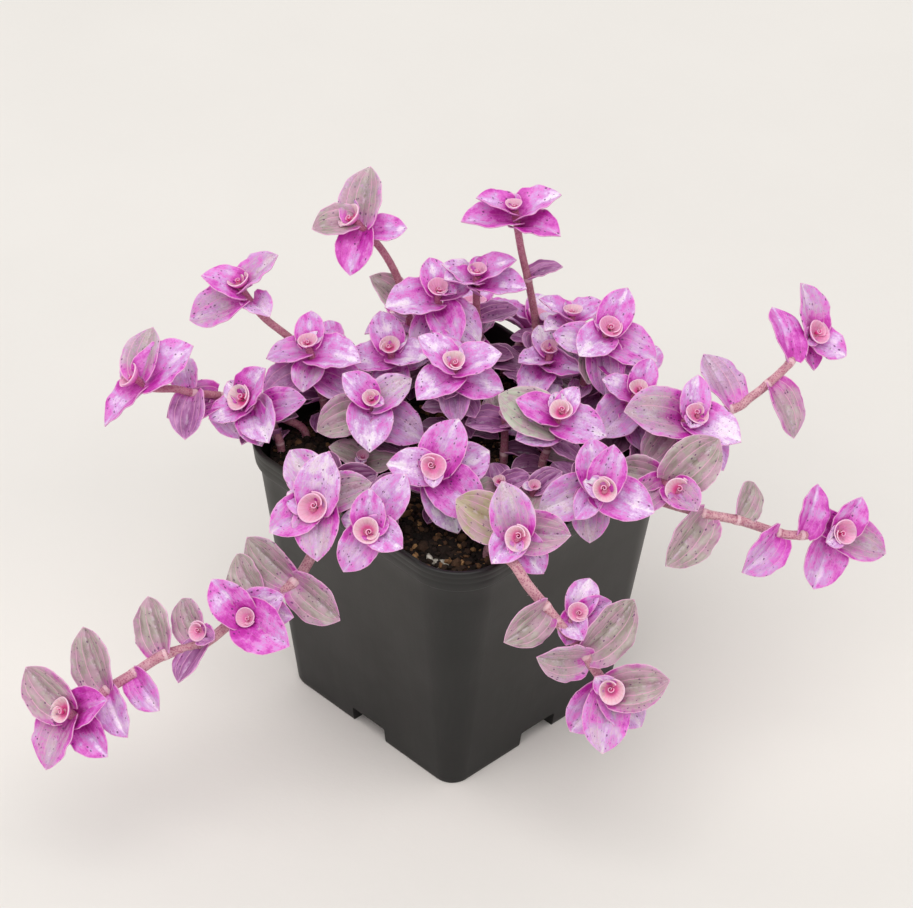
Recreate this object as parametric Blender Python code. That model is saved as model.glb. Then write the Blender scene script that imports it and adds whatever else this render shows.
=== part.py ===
"""Pink turtle vine in a square nursery pot, the long shoots trailing over its rim.

Lengths below are millimetres unless a name says otherwise, and MM turns them into metres.
The pot stands on Z = 0 with its underside centred on the origin and its sides along X and Y.
"""
import math
import random
from dataclasses import dataclass, replace

import bmesh
import bpy
from mathutils import Matrix, Vector
from mathutils.bvhtree import BVHTree

MM = 0.001
GAP = 0.3  # clear space between pieces that touch
MERGE = 1e-3  # vertices nearer than this are one

# Pot: a thin tapered shell with rounded corners and a stepped band round its rim
POT_HEIGHT = 67.0
POT_TOP_WIDTH = 70.0  # outside the band
POT_BASE_WIDTH = 51.0
POT_WALL = 1.2
POT_FLOOR = 1.5
BAND_HEIGHT = 5.5
BAND_STEP = 0.9
TOP_CORNER = 11.5
BASE_CORNER = 4.5
CORNER_STEPS = 5
SLOT_WIDTH = 10.0
SLOT_HEIGHT = 4.0
SLOT_DEPTH = 7.0

# Soil: fills the pot to just under the rim, its top in relief
SOIL_TOP = 63.0
SOIL_RELIEF = 0.8
SOIL_CELLS = 8
HOLE_SIDES = 5
HOLE_RADIUS = 1.75
HOLE_ABOVE = 3.0  # how far a hole's cutter stands above the soil

# Stems
STEM_RADIUS = 1.1
BRANCH_RADIUS = 0.9
STEM_BEVEL = 1  # resolution of the round section, which gives six sides
STEM_DEPTH = 8.0  # how far a stem stands in the soil
STEM_RISE = 1.2  # straight part of a stem above the soil
BEND_STEP = 10.0  # spacing of a standing stem's points
BRANCH_STEP = 4.0
BOW = 1.5  # how far a stem keeps its first direction

# Cups: the rolled young leaves at a tip
CUP_RADIUS = 2.5
CUP_FOOT_RADIUS = 0.9
CUP_HEIGHT = 4.2
CUP_SIDES = 6
CUP_LIP = 0.6
CUP_SEAT = 1.4  # from a cup's centre down to the end of the stem inside it
SIDE_CUP_SIZE = 0.9

# Blades
LEAF_THICKNESS = 0.62
LEAF_WIDTH = 0.78  # of its length
WIDTH_SPREAD = (0.94, 1.06)
LEAF_LIFT = 0.36  # rise of a rosette blade's edges, of its half width
OLD_LEAF_LIFT = 0.3
CURL = (0.3, 0.8)  # turn in radians from base to tip
ROOT_OFFSET = 0.6  # a blade starts this far off its stem's centre line
NODE_SPREAD = (-0.4, 0.4)  # how far a trail's blades stand from their node along the stem
FULL_LENGTH = 10.1  # shorter blades get one row of facets less
FULL_ROWS = (0.25, 0.66, 1.0)
SHORT_ROWS = (0.5, 1.0)
LIGHT = Vector((0.42, -0.42, 0.80)).normalized()  # side that the blades turn to
BACK = Vector((-1.0, 1.0, 0.0)).normalized()  # clock angle 0 round a rosette

# How blades stand round a stem, angles in degrees
FIRST_PITCH = 60.0  # of the blade next to the cup
PITCH_STEP = 7.0
FLAT_PITCH = 92.0
YOUNG_LENGTH = 7.0  # blades shorter than this are young and stand up closer
YOUNG_PITCH = 48.0
OLD_PITCH = (82.0, 98.0)
BLADE_STEP = 1.1  # along the stem from one rosette blade to the next
OLD_BLADE_STEP = 5.5
OLD_LENGTH = (9.5, 11.5)
BARE_ABOVE_SOIL = 3.5
DIVERGENCE = 140.0
SEED = 11

# Rows of each standing shoot: name, root on the soil (x, y), centre of its cup (x, y, z),
# way it faces (heading, tilt from upright), and its rosette from the cup outwards (clock, length)
SHOOTS = (
    ("shoot_tall_left", (-24, 9), (-35, 0.5, 106), (240, 40),
     ((300, 10), (70, 13.5), (190, 12), (110, 8))),
    ("shoot_tall_right", (-6, 29), (-13, 27, 108), (225, 6),
     ((265, 9), (80, 10.5), (240, 12), (135, 11))),
    ("shoot_far_left", (-28, -11), (-45, -22.5, 95), (225, 18),
     ((80, 11), (300, 10), (240, 13.5), (150, 8))),
    ("shoot_left_rim", (-27, -27), (-33.5, -32.5, 76), (265, 45),
     ((75, 10), (260, 9), (205, 10), (165, 12), (100, 10))),
    ("shoot_left", (-26, -14.5), (-30.5, -16, 84), (300, 12),
     ((0, 8), (285, 9), (110, 11.5), (190, 10.5), (40, 10), (240, 12), (140, 12))),
    ("shoot_mid_left", (-13, -13), (-11, -16, 80), (315, 25),
     ((305, 8.5), (60, 10), (180, 12), (250, 12), (120, 12), (10, 9))),
    ("shoot_mid_back", (-19, -1), (-20.5, -1.5, 81), (300, 18),
     ((350, 9), (115, 9.5), (245, 10), (180, 10), (60, 10))),
    ("shoot_back", (-17, 9), (-18, 10, 92), (315, 15),
     ((340, 8), (60, 10), (250, 12.5), (160, 11), (120, 11), (210, 11))),
    ("shoot_back_stack", (-13, 18), (-14, 17.5, 95), (0, 3),
     ((80, 9), (235, 9), (110, 11), (270, 10))),
    ("shoot_centre", (-2, 0), (-1, -1.5, 88), (315, 20),
     ((295, 10), (75, 10.5), (220, 11), (130, 12), (350, 10), (180, 9))),
    ("shoot_rim_front_left", (-6, -27), (1, -43.5, 73), (300, 48),
     ((30, 13), (265, 11.5), (190, 12.5), (95, 11), (335, 12))),
    ("shoot_low_front_left", (5, -26), (13, -39.5, 72), (310, 50),
     ((5, 9), (115, 9), (200, 11), (270, 9), (40, 11))),
    ("shoot_front", (11, -16), (12.5, -20.5, 78), (315, 42),
     ((175, 5.5), (265, 10), (355, 12), (110, 13), (180, 13.5), (55, 12), (300, 10))),
    ("shoot_back_right", (9, 25), (12.5, 31, 88), (335, 30),
     ((15, 10), (220, 10.5), (105, 12), (170, 11.5), (275, 10), (125, 13))),
    ("shoot_back_mid", (0, 28), (1.5, 31, 86), (100, 10),
     ((275, 8), (55, 9), (225, 11), (150, 10), (340, 10))),
    ("shoot_mid_right", (2, 20), (2, 24, 80), (300, 8),
     ((340, 7), (245, 8), (125, 9), (185, 10), (60, 9))),
    ("shoot_inner_right", (17, 7), (20.5, 8.5, 82), (315, 22),
     ((40, 7), (285, 9.5), (115, 12.5), (220, 11), (165, 8))),
    ("shoot_right", (21, 24), (24.5, 28, 80), (335, 22),
     ((20, 8), (290, 8), (95, 9), (210, 12), (150, 10), (50, 10))),
    ("shoot_right_rim", (28, 27), (37, 32.5, 78), (345, 28),
     ((350, 9), (85, 12), (255, 15), (130, 13), (195, 11))),
    ("shoot_rim_front_right", (25, 17.5), (47, 17, 72), (320, 45),
     ((180, 5), (140, 10), (45, 14), (225, 10), (280, 10))),
    ("shoot_front_right", (28, 5), (40, 2, 76), (320, 42),
     ((5, 10), (320, 10.5), (215, 8), (120, 13), (240, 12), (175, 11))),
    ("shoot_rim_front", (27, -13), (36.5, -19.5, 73), (315, 50),
     ((190, 5), (345, 12), (215, 10), (145, 10), (85, 12), (270, 13))),
    ("shoot_low_left", (-9, -20), (-9, -20, 68), (315, 15), ((280, 8), (100, 8), (0, 7))),
    ("shoot_low_right", (19, -6), (18, -6.5, 70), (315, 10), ((90, 7), (230, 8), (330, 8))),
    ("shoot_low_front", (24, -3), (25, -3, 71), (330, 15), ((60, 7), (190, 8), (300, 8))),
    ("shoot_low_mid", (9, 4), (8, 5, 76), (315, 15), ((90, 12), (250, 9), (340, 9))),
    ("shoot_low_inner", (10, 14), (9, 14, 72), (315, 10), ((20, 9), (130, 9), (250, 9))),
    ("shoot_low_back", (-26, 27), (-27, 30, 73), (130, 20),
     ((0, 10), (120, 10), (240, 10), (60, 11), (300, 11))),
    ("shoot_low_back_left", (-29, 16), (-34, 15, 74), (170, 25),
     ((0, 10), (130, 10), (230, 10), (310, 11))),
    ("shoot_low_back_right", (-14, 27), (-13, 36, 74), (95, 25),
     ((20, 10), (270, 10), (320, 11), (70, 11))),
    ("shoot_low_side", (-29, -3), (-36, -5, 73), (200, 25), ((0, 10), (290, 10), (240, 11), (330, 10))),
    ("shoot_low_corner", (12, 27), (14, 38.5, 75), (80, 30), ((0, 10), (60, 10), (300, 10), (100, 11))),
)

# Trailing shoots. route runs from the soil to the cup. leaves are (route point, heading, rise, length).
# buds are side rosettes: (route point, centre of the cup, facing, rosette).
TRAILS = (
    dict(
        name="trail_front_left",
        route=((-2, -24), (-1, -29, 68.6), (1, -37, 68.6), (1.5, -42.5, 63), (1, -48.5, 56), (-2, -55, 52),
               (-3.5, -62, 50), (-5, -68.5, 47), (-9.5, -75.5, 45), (-12, -81.5, 42), (-13.5, -88, 40),
               (-15.5, -98, 39)),
        facing=(262, 52),
        rosette=((350, 13), (235, 12.5), (130, 11), (170, 11)),
        leaves=((4, -175, 25, 13.5), (4, 5, -10, 13), (5, 160, 25, 12), (5, 5, 15, 9), (7, 160, 25, 11),
                (7, -75, -25, 10), (8, 155, 35, 12.5), (9, -10, -15, 10), (10, 165, 40, 13.5),
                (10, -20, -25, 11)),
        buds=((6, (1, -62, 54), (290, 50), ((345, 11), (125, 14), (185, 9), (80, 11))),
              (7, (-5, -70, 51), (290, 50), ((130, 6),))),
    ),
    dict(
        name="trail_front",
        route=((28, -19), (33, -22, 68.8), (38, -22, 68.8), (42, -21.5, 65), (45.5, -20, 61),
               (50.5, -18.5, 56), (54, -16.5, 51), (61, -15.5, 45)),
        facing=(320, 55),
        rosette=((310, 6), (75, 13), (180, 13), (235, 13), (130, 11)),
        leaves=((4, -90, -15, 12), (6, 120, 20, 13), (6, -105, 20, 12)),
        buds=((5, (49, -14, 58), (320, 50), ((200, 6), (50, 11), (290, 8), (80, 11))),),
    ),
    dict(
        name="trail_front_right",
        route=((27, 12), (32, 13, 69), (42, 15, 68), (51, 21, 66), (55, 27.5, 63), (60.5, 34.5, 59),
               (63.5, 38.5, 58), (68, 46.5, 57)),
        facing=(350, 55),
        rosette=((350, 9), (290, 9), (80, 12), (165, 12)),
        leaves=((3, -85, -25, 14), (4, 115, 15, 10), (5, -85, -15, 12.5), (6, 130, 30, 11)),
        buds=(),
    ),
    dict(
        name="trail_right",
        route=((22, 27), (30, 36, 71.5), (37.5, 43.5, 74), (39, 47, 76), (40, 51, 78), (40.5, 57.5, 81),
               (39, 67, 83)),
        facing=(10, 45),
        rosette=((300, 12), (100, 9), (150, 10)),
        leaves=((2, 170, 30, 13), (4, 0, -45, 12.5), (5, 155, 35, 12.5)),
        buds=(),
    ),
    dict(
        name="trail_left",
        route=((-27, -20), (-31, -24, 68), (-37, -29.5, 71), (-39, -33.5, 74), (-40.5, -39.5, 77),
               (-42, -43, 79), (-48.5, -49.5, 82)),
        facing=(235, 50),
        rosette=((70, 12), (130, 12), (225, 12)),
        leaves=((3, -5, -45, 10), (3, -120, -15, 12), (4, -55, -25, 11), (4, 150, 10, 9)),
        buds=(),
    ),
)

# Stems that are nearly bare: each older blade's distance down the stem, clock angle and length
SPARSE_STEMS = {
    "shoot_tall_left": ((25, 290, 10),),
    "shoot_tall_right": ((17, 80, 7.5), (38, 250, 9)),
    "shoot_far_left": ((30, 80, 9),),
    "shoot_back_stack": ((12, 70, 9), (17, 250, 10), (22, 100, 10)),
}

# Other pitches, turns and sizes that a crossing blade tries, and what each costs
PITCH_TRIES = (0, -8, 8, -16, 16, -26, -38)
TURN_TRIES = (0, -12, 12, -24, 24)
SIZE_TRIES = (1.0, 0.9, 0.8, 0.68)
PITCH_COST = 1 / 8
TURN_COST = 1 / 12
SIZE_COST = 12.0
BLADE_CLEAR_FROM = 0.2  # of its length, where a blade parts from the others on its stem

# Step between blades and solver that fuse a shoot, tried until its solid closes
FUSE_TRIES = ((0.0, "EXACT"), (0.02, "EXACT"), (-0.03, "EXACT"), (0.0, "MANIFOLD"), (0.02, "MANIFOLD"))


@dataclass(frozen=True)
class Leaf:
    """One blade: where it grows from, its stem's direction there, and its own shape."""

    root: Vector
    axis: Vector
    radial: Vector
    pitch: float
    length: float
    width: float
    lift: float
    curl: float
    turned: float = 0.15

    def frame(self):
        """Directions across the blade, along it and out of its upper face."""
        pitch = math.radians(self.pitch)
        along = math.cos(pitch) * self.axis + math.sin(pitch) * self.radial
        face = math.sin(pitch) * self.axis - math.cos(pitch) * self.radial
        face = face * (1 - self.turned) + LIGHT * self.turned
        face = (face - face.dot(along) * along).normalized()
        return along.cross(face), along, face


@dataclass
class Shoot:
    """One leafy stem: its centre line, its cups and the blades that it carries."""

    name: str
    line: list
    branches: list
    cups: list
    wanted: list
    leaves: list


def heading_vector(heading, tilt):
    """Unit vector at a heading round Z, tilted from upright."""
    heading, tilt = math.radians(heading), math.radians(tilt)
    return Vector((math.cos(heading) * math.sin(tilt), math.sin(heading) * math.sin(tilt), math.cos(tilt)))


def clock_vector(axis, clock):
    """Direction square to an axis at a clock angle, 0 being to the back and 90 to the right."""
    up = (BACK - BACK.dot(axis) * axis).normalized()
    side = up.cross(axis)
    clock = math.radians(clock)
    return math.cos(clock) * up + math.sin(clock) * side


def point_and_direction(line, back):
    """Place on a stem's centre line a distance back from its tip, with the stem's direction there."""
    for upper, lower in zip(reversed(line), reversed(line[:-1])):
        span = (upper - lower).length
        if back <= span:
            return upper.lerp(lower, back / span), (upper - lower).normalized()
        back -= span
    return line[0].copy(), Vector((0, 0, 1))


def rosette_leaves(line, axis, ring, step, draw):
    """The blades of a rosette, from its cup outwards, rooted down the stem below it."""
    leaves = []
    reach = sum((upper - lower).length for upper, lower in zip(line, line[1:]))
    for index, (clock, length) in enumerate(ring):
        pitch = YOUNG_PITCH if length < YOUNG_LENGTH else min(FIRST_PITCH + PITCH_STEP * index, FLAT_PITCH)
        radial = clock_vector(axis, clock)
        back = min(CUP_HEIGHT / 2 - CUP_SEAT + step * index, 0.8 * reach)
        root = point_and_direction(line, back)[0] + radial * ROOT_OFFSET
        width = length * LEAF_WIDTH * draw.uniform(*WIDTH_SPREAD)
        leaves.append(Leaf(root, axis, radial, pitch, length, width, LEAF_LIFT, draw.uniform(*CURL)))
    return leaves


def stem_leaf(line, back, clock, length, draw):
    """One of the older blades that stand singly down a stem."""
    place, direction = point_and_direction(line, back)
    radial = clock_vector(direction, clock)
    pitch = draw.uniform(*OLD_PITCH)
    root = place + radial * ROOT_OFFSET
    width = length * LEAF_WIDTH
    return Leaf(root, direction, radial, pitch, length, width, OLD_LEAF_LIFT, draw.uniform(*CURL))


def bowed_line(foot, start, end, axis, spacing):
    """A smooth line from a foot, leaving it one way and reaching its end another."""
    reach = (end - foot).length
    steps = max(2, round(reach / spacing))
    line = []
    for step in range(steps + 1):
        t = step / steps
        leaving = start * reach * BOW * t * (1 - t) ** 2
        arriving = axis * reach * t**2 * (1 - t)
        line.append(foot.lerp(end, t * t * (3 - 2 * t)) + leaving - arriving)
    return line


def standing_shoot(name, root, centre, facing, ring, draw):
    """A shoot that stands in the pot: a bowed stem, a rosette and older blades below it."""
    axis = heading_vector(*facing)
    centre = Vector(centre)
    foot = Vector((*root, SOIL_TOP + STEM_RISE))
    upright = Vector((0, 0, 1))
    line = [Vector((*root, SOIL_TOP - STEM_DEPTH))]
    line += bowed_line(foot, upright, centre - axis * CUP_SEAT, axis, BEND_STEP)
    rosette = rosette_leaves(line, axis, ring, BLADE_STEP, draw)
    if name in SPARSE_STEMS:
        lower = [stem_leaf(line, *leaf, draw) for leaf in SPARSE_STEMS[name]]
    else:
        lower = []
        back = CUP_HEIGHT + BLADE_STEP * (len(ring) + 1)
        clock = ring[-1][0] + DIVERGENCE
        while point_and_direction(line, back)[0].z > SOIL_TOP + BARE_ABOVE_SOIL:
            lower.append(stem_leaf(line, back, clock, draw.uniform(*OLD_LENGTH), draw))
            back += OLD_BLADE_STEP * draw.uniform(0.85, 1.15)
            clock += DIVERGENCE * draw.uniform(0.9, 1.2)
    return Shoot(name, line, [], [(centre, axis, 1.0)], [rosette, lower], [])


def trailing_shoot(name, route, facing, rosette, leaves, buds, draw):
    """A long shoot: its route, single blades at its nodes, side rosettes and the rosette at its tip."""
    root, *points = [Vector(point) for point in route]
    axis = heading_vector(*facing)
    centre = points[-1]
    points[-1:] = [centre - axis * (CUP_SEAT + BRANCH_STEP), centre - axis * CUP_SEAT]
    foot = Vector((root.x, root.y, SOIL_TOP - STEM_DEPTH))
    line = [foot, Vector((root.x, root.y, SOIL_TOP + STEM_RISE)), *points]
    wanted = rosette_leaves(line, axis, rosette, BLADE_STEP, draw)
    for node, heading, rise, length in leaves:
        direction = (line[node + 2] - line[node]).normalized()
        along = heading_vector(heading, 90 - rise)
        radial = (along - along.dot(direction) * direction).normalized()
        root = line[node + 1] + radial * ROOT_OFFSET + direction * draw.uniform(*NODE_SPREAD)
        pitch = math.degrees(along.angle(direction))
        width = length * LEAF_WIDTH * WIDTH_SPREAD[0]
        curl = draw.uniform(*CURL)
        wanted.append(Leaf(root, direction, radial, pitch, length, width, OLD_LEAF_LIFT, curl, turned=0.6))
    cups = [(centre, axis, 1.0)]
    branches = []
    for node, bud, bud_facing, ring in buds:
        bud_axis = heading_vector(*bud_facing)
        bud = Vector(bud)
        joint = line[node + 1]
        end = bud - bud_axis * SIDE_CUP_SIZE * CUP_SEAT
        cups.append((bud, bud_axis, SIDE_CUP_SIZE))
        branches.append(bowed_line(joint, (bud - joint).normalized(), end, bud_axis, BRANCH_STEP))
        wanted += rosette_leaves(branches[-1], bud_axis, ring, BLADE_STEP * 0.7, draw)
    return Shoot(name, line, branches, cups, [wanted, []], [])


def leaf_point(leaf, across, along, grow=0.0):
    """Place on a blade's middle surface: across runs from -1 to 1 and along from base to tip."""
    side, forward, face = leaf.frame()
    length = leaf.length + 2 * grow
    near_base = 0.015 + 0.985 * along
    outline = max(math.sin(math.pi * near_base**0.72), 0.0) ** 0.75 * (1 - 0.3 * along**6)
    half = leaf.width / 2 * outline + grow
    turn = leaf.curl * (0.5 - along)
    run = length * (math.sin(leaf.curl / 2) - math.sin(turn)) / leaf.curl
    drop = length * (math.cos(turn) - math.cos(leaf.curl / 2)) / leaf.curl
    cupping = half * leaf.lift * (1 + 1.2 * (1 - along) ** 3) * abs(across) ** 1.5
    return leaf.root + side * (half * across) + forward * (run - grow) + face * (drop + cupping)


def leaf_bmesh(leaf, grow=0.0, first=0.0):
    """A blade as a thin closed solid, folded along its midrib."""
    rows = (first, *(FULL_ROWS if leaf.length > FULL_LENGTH else SHORT_ROWS))
    bm = bmesh.new()
    spans = len(rows) - 1
    grid = bmesh.ops.create_grid(bm, x_segments=1, y_segments=spans, size=1.0)
    thick = leaf.frame()[2] * (LEAF_THICKNESS + 2 * grow)
    for vert in grid["verts"]:
        along = rows[round((vert.co.y + 1) / 2 * spans)]
        across = vert.co.x if along < 1 else 0.0
        vert.co = leaf_point(leaf, across, along, grow) + thick / 2
    bmesh.ops.remove_doubles(bm, verts=bm.verts, dist=MERGE)
    bmesh.ops.triangulate(bm, faces=bm.faces)
    under = bmesh.ops.extrude_face_region(bm, geom=bm.faces[:])["geom"]
    bmesh.ops.translate(bm, vec=-thick, verts=[v for v in under if isinstance(v, bmesh.types.BMVert)])
    bmesh.ops.recalc_face_normals(bm, faces=bm.faces)
    return bm


def cup_bmesh(centre, axis, size):
    """The rolled young leaves at a shoot's tip, as a small open cup."""
    bm = bmesh.new()
    bmesh.ops.create_cone(bm, cap_ends=True, segments=CUP_SIDES, radius1=CUP_FOOT_RADIUS * size,
                          radius2=CUP_RADIUS * size, depth=CUP_HEIGHT * size)
    mouth = max(bm.faces, key=lambda face: face.calc_center_median().z)
    bmesh.ops.inset_region(bm, faces=[mouth], thickness=CUP_LIP * size)
    dimple = bmesh.ops.poke(bm, faces=[mouth])["verts"]
    bmesh.ops.translate(bm, vec=(0, 0, -0.6 * CUP_HEIGHT * size), verts=dimple)
    turn = Vector((0, 0, 1)).rotation_difference(axis).to_matrix().to_4x4()
    bmesh.ops.transform(bm, matrix=Matrix.Translation(centre) @ turn, verts=bm.verts)
    return bm


def tree_of(bm):
    """A search tree of a mesh, with its centre and reach."""
    tree = BVHTree.FromBMesh(bm)
    points = [vert.co.copy() for vert in bm.verts]
    bm.free()
    middle = sum(points, Vector()) / len(points)
    return tree, middle, max((point - middle).length for point in points)


class Neighbours:
    """What stands in the pot so far, to test a new blade against."""

    def __init__(self):
        self.pieces = []

    def add(self, owner, bm, is_blade=False):
        """Keep a piece of a shoot, of the pot or of the soil."""
        self.pieces.append((owner, is_blade, *tree_of(bm)))

    def crossed(self, owner, leaf, own):
        """Whether a blade crosses another shoot's pieces, or with own set the shoot's own blades."""
        first = BLADE_CLEAR_FROM if own else 0.0
        tree, middle, reach = tree_of(leaf_bmesh(leaf, 0.0 if own else GAP, first))
        for other, is_blade, other_tree, other_middle, other_reach in self.pieces:
            if own != (other == owner) or (own and not is_blade):
                continue
            if (middle - other_middle).length < reach + other_reach and tree.overlap(other_tree):
                return True
        return False


def tries():
    """Changes of pitch, turn and size, the smallest first."""
    options = []
    for pitch in PITCH_TRIES:
        for turn in TURN_TRIES:
            for size in SIZE_TRIES:
                cost = abs(pitch) * PITCH_COST + abs(turn) * TURN_COST + (1 - size) * SIZE_COST
                options.append((cost, pitch, turn, size))
    return sorted(options)


def settle(shoot, leaf, neighbours, options):
    """Place a blade where it crosses nothing, or failing that only its own shoot, where it is fused."""
    spare = None
    for _, pitch, turn, size in options:
        radial = leaf.radial.copy()
        radial.rotate(Matrix.Rotation(math.radians(turn), 3, leaf.axis))
        tried = replace(leaf, radial=radial, pitch=leaf.pitch + pitch, length=leaf.length * size,
                        width=leaf.width * size)
        if neighbours.crossed(shoot.name, tried, own=False):
            continue
        spare = spare or tried
        if not neighbours.crossed(shoot.name, tried, own=True):
            spare = tried
            break
    if spare:
        shoot.leaves.append(spare)
        neighbours.add(shoot.name, leaf_bmesh(spare), is_blade=True)


def plan_shoots():
    """Every shoot with its stem, cups and wanted blades, none of them placed yet."""
    draw = random.Random(SEED)
    shoots = [trailing_shoot(**row, draw=draw) for row in TRAILS]
    return shoots + [standing_shoot(*row, draw) for row in SHOOTS]


def stem_bmesh(line, radius=STEM_RADIUS):
    """A stem as a closed tube along its centre line."""
    curve = bpy.data.curves.new("stem", "CURVE")
    curve.dimensions = "3D"
    curve.bevel_depth = radius
    curve.bevel_resolution = STEM_BEVEL
    curve.use_fill_caps = True
    spline = curve.splines.new("POLY")
    spline.points.add(len(line) - 1)
    for point, place in zip(spline.points, line):
        point.co = (*place, 1.0)
    tube = bpy.data.objects.new("stem", curve)
    bpy.context.scene.collection.objects.link(tube)
    graph = bpy.context.evaluated_depsgraph_get()
    mesh = bpy.data.meshes.new_from_object(tube.evaluated_get(graph))
    bpy.data.objects.remove(tube)
    bm = bmesh.new()
    bm.from_mesh(mesh)
    bmesh.ops.remove_doubles(bm, verts=bm.verts, dist=MERGE)
    bmesh.ops.recalc_face_normals(bm, faces=bm.faces)
    bpy.data.meshes.remove(mesh)
    return bm


def place_leaves(shoots, fixed):
    """Place all the blades, the rosettes first and the older blades in what room is left."""
    neighbours = Neighbours()
    for name, piece in fixed.items():
        bm = bmesh.new()
        bm.from_mesh(piece.data)
        bmesh.ops.scale(bm, vec=(1 / MM,) * 3, verts=bm.verts)
        neighbours.add(name, bm)
    for shoot in shoots:
        for line in (shoot.line[1:], *shoot.branches):
            neighbours.add(shoot.name, stem_bmesh(line))
        for cup in shoot.cups:
            neighbours.add(shoot.name, cup_bmesh(*cup))
    options = tries()
    for wave in range(2):
        for shoot in shoots:
            for leaf in shoot.wanted[wave]:
                settle(shoot, leaf, neighbours, options)


def make_material(name, colour, roughness):
    """A plain Principled material."""
    material = bpy.data.materials.new(name)
    material.use_nodes = True
    shader = material.node_tree.nodes["Principled BSDF"]
    shader.inputs["Base Color"].default_value = (*colour, 1.0)
    shader.inputs["Roughness"].default_value = roughness
    shader.inputs["Metallic"].default_value = 0.0
    return material


def solid(name, bm, collection, material=None):
    """An object in metres from a mesh in millimetres."""
    bmesh.ops.scale(bm, vec=(MM, MM, MM), verts=bm.verts)
    mesh = bpy.data.meshes.new(name)
    bm.to_mesh(mesh)
    bm.free()
    if material:
        mesh.materials.append(material)
    piece = bpy.data.objects.new(name, mesh)
    collection.objects.link(piece)
    return piece


def new_collection(name):
    """A collection under the scene."""
    collection = bpy.data.collections.new(name)
    bpy.context.scene.collection.children.link(collection)
    return collection


def boolean(piece, tools, operation, solver="EXACT"):
    """Cut or join a piece with every object of a collection, which is then removed."""
    modifier = piece.modifiers.new(operation.title(), "BOOLEAN")
    modifier.operation = operation
    modifier.operand_type = "COLLECTION"
    modifier.collection = tools
    modifier.solver = solver
    graph = bpy.context.evaluated_depsgraph_get()
    mesh = bpy.data.meshes.new_from_object(piece.evaluated_get(graph))
    material = piece.data.materials[0]
    piece.modifiers.clear()
    piece.data = mesh
    mesh.materials.clear()
    mesh.materials.append(material)
    for tool in list(tools.objects):
        bpy.data.objects.remove(tool)
    bpy.data.collections.remove(tools)


def keep_outer_shell(mesh):
    """Fill sealed hollows and drop loose scraps, and say whether the largest shell is closed."""
    bm = bmesh.new()
    bm.from_mesh(mesh)
    bmesh.ops.remove_doubles(bm, verts=bm.verts, dist=MERGE * MM)
    bmesh.ops.dissolve_degenerate(bm, edges=bm.edges, dist=MERGE * MM)
    shells = []
    left = set(bm.faces)
    while left:
        queue = [left.pop()]
        shell = set(queue)
        while queue:
            touching = {face for edge in queue.pop().edges for face in edge.link_faces} & left
            left -= touching
            shell |= touching
            queue += touching
        shells.append(shell)
    largest = max(shells, key=lambda shell: sum(face.calc_area() for face in shell))
    loose = [face for shell in shells if shell is not largest for face in shell]
    bmesh.ops.delete(bm, geom=loose, context="FACES")
    closed = all(len(edge.link_faces) == 2 for edge in bm.edges)
    bm.to_mesh(mesh)
    bm.free()
    return closed


def rounded_square(width, corner, z):
    """Points round a square with round corners, anticlockwise."""
    points = []
    inner = width / 2 - corner
    for quarter, (sx, sy) in enumerate(((1, 1), (-1, 1), (-1, -1), (1, -1))):
        for step in range(CORNER_STEPS + 1):
            angle = math.pi / 2 * (quarter + step / CORNER_STEPS)
            off = Vector((math.cos(angle), math.sin(angle))) * corner
            points.append(Vector((sx * inner + off.x, sy * inner + off.y, z)))
    return points


def pot_width(z):
    """Outside width of the pot's body, below its band, at a height."""
    return POT_BASE_WIDTH + (POT_TOP_WIDTH - 2 * BAND_STEP - POT_BASE_WIDTH) * z / POT_HEIGHT


def pot_corner(z):
    """Corner radius of the pot at a height."""
    return BASE_CORNER + (TOP_CORNER - BASE_CORNER) * z / POT_HEIGHT


def inner_width(z):
    """Inside width of the pot at a height."""
    return pot_width(z) - 2 * POT_WALL


def pot_bmesh():
    """The shell, ring by ring from the underside up the outside and down to the floor."""
    band = POT_HEIGHT - BAND_HEIGHT
    rings = (
        (pot_width(0), 0.0),
        (pot_width(band), band),
        (pot_width(band) + 2 * BAND_STEP, band),
        (POT_TOP_WIDTH, POT_HEIGHT),
        (POT_TOP_WIDTH - 2 * POT_WALL, POT_HEIGHT),
        (inner_width(band - POT_WALL), band - POT_WALL),
        (inner_width(POT_FLOOR), POT_FLOOR),
    )
    bm = bmesh.new()
    loops = []
    for width, z in rings:
        corner = pot_corner(z) - (pot_width(z) - width) / 2
        loops.append([bm.verts.new(point) for point in rounded_square(width, corner, z)])
    for lower, upper in zip(loops, loops[1:]):
        for quad in zip(lower, lower[1:] + lower[:1], upper[1:] + upper[:1], upper):
            bm.faces.new(quad)
    bm.faces.new(loops[0])
    bm.faces.new(loops[-1])
    bmesh.ops.recalc_face_normals(bm, faces=bm.faces)
    return bm


def build_pot(collection, material):
    """The pot with a drain slot in the middle of each side, at the foot of the wall."""
    pot = solid("pot", pot_bmesh(), collection, material)
    cutters = new_collection("pot_cutters")
    for quarter in range(4):
        bm = bmesh.new()
        bmesh.ops.create_cube(bm, size=1.0)
        bmesh.ops.scale(bm, vec=(2 * SLOT_DEPTH, SLOT_WIDTH, 2 * SLOT_HEIGHT), verts=bm.verts)
        bmesh.ops.translate(bm, vec=(POT_BASE_WIDTH / 2, 0, 0), verts=bm.verts)
        bmesh.ops.rotate(bm, matrix=Matrix.Rotation(math.pi / 2 * quarter, 3, "Z"), verts=bm.verts)
        solid("pot_slot_cutter", bm, cutters)
    boolean(pot, cutters, "DIFFERENCE")
    return pot


def round_corner(x, y, half, corner):
    """Move a point of a square onto the square with round corners."""
    core = Vector((max(min(x, half - corner), corner - half), max(min(y, half - corner), corner - half)))
    off = Vector((x, y)) - core
    if off.x and off.y:
        off = off.normalized() * max(abs(off.x), abs(off.y))
    return core + off


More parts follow.
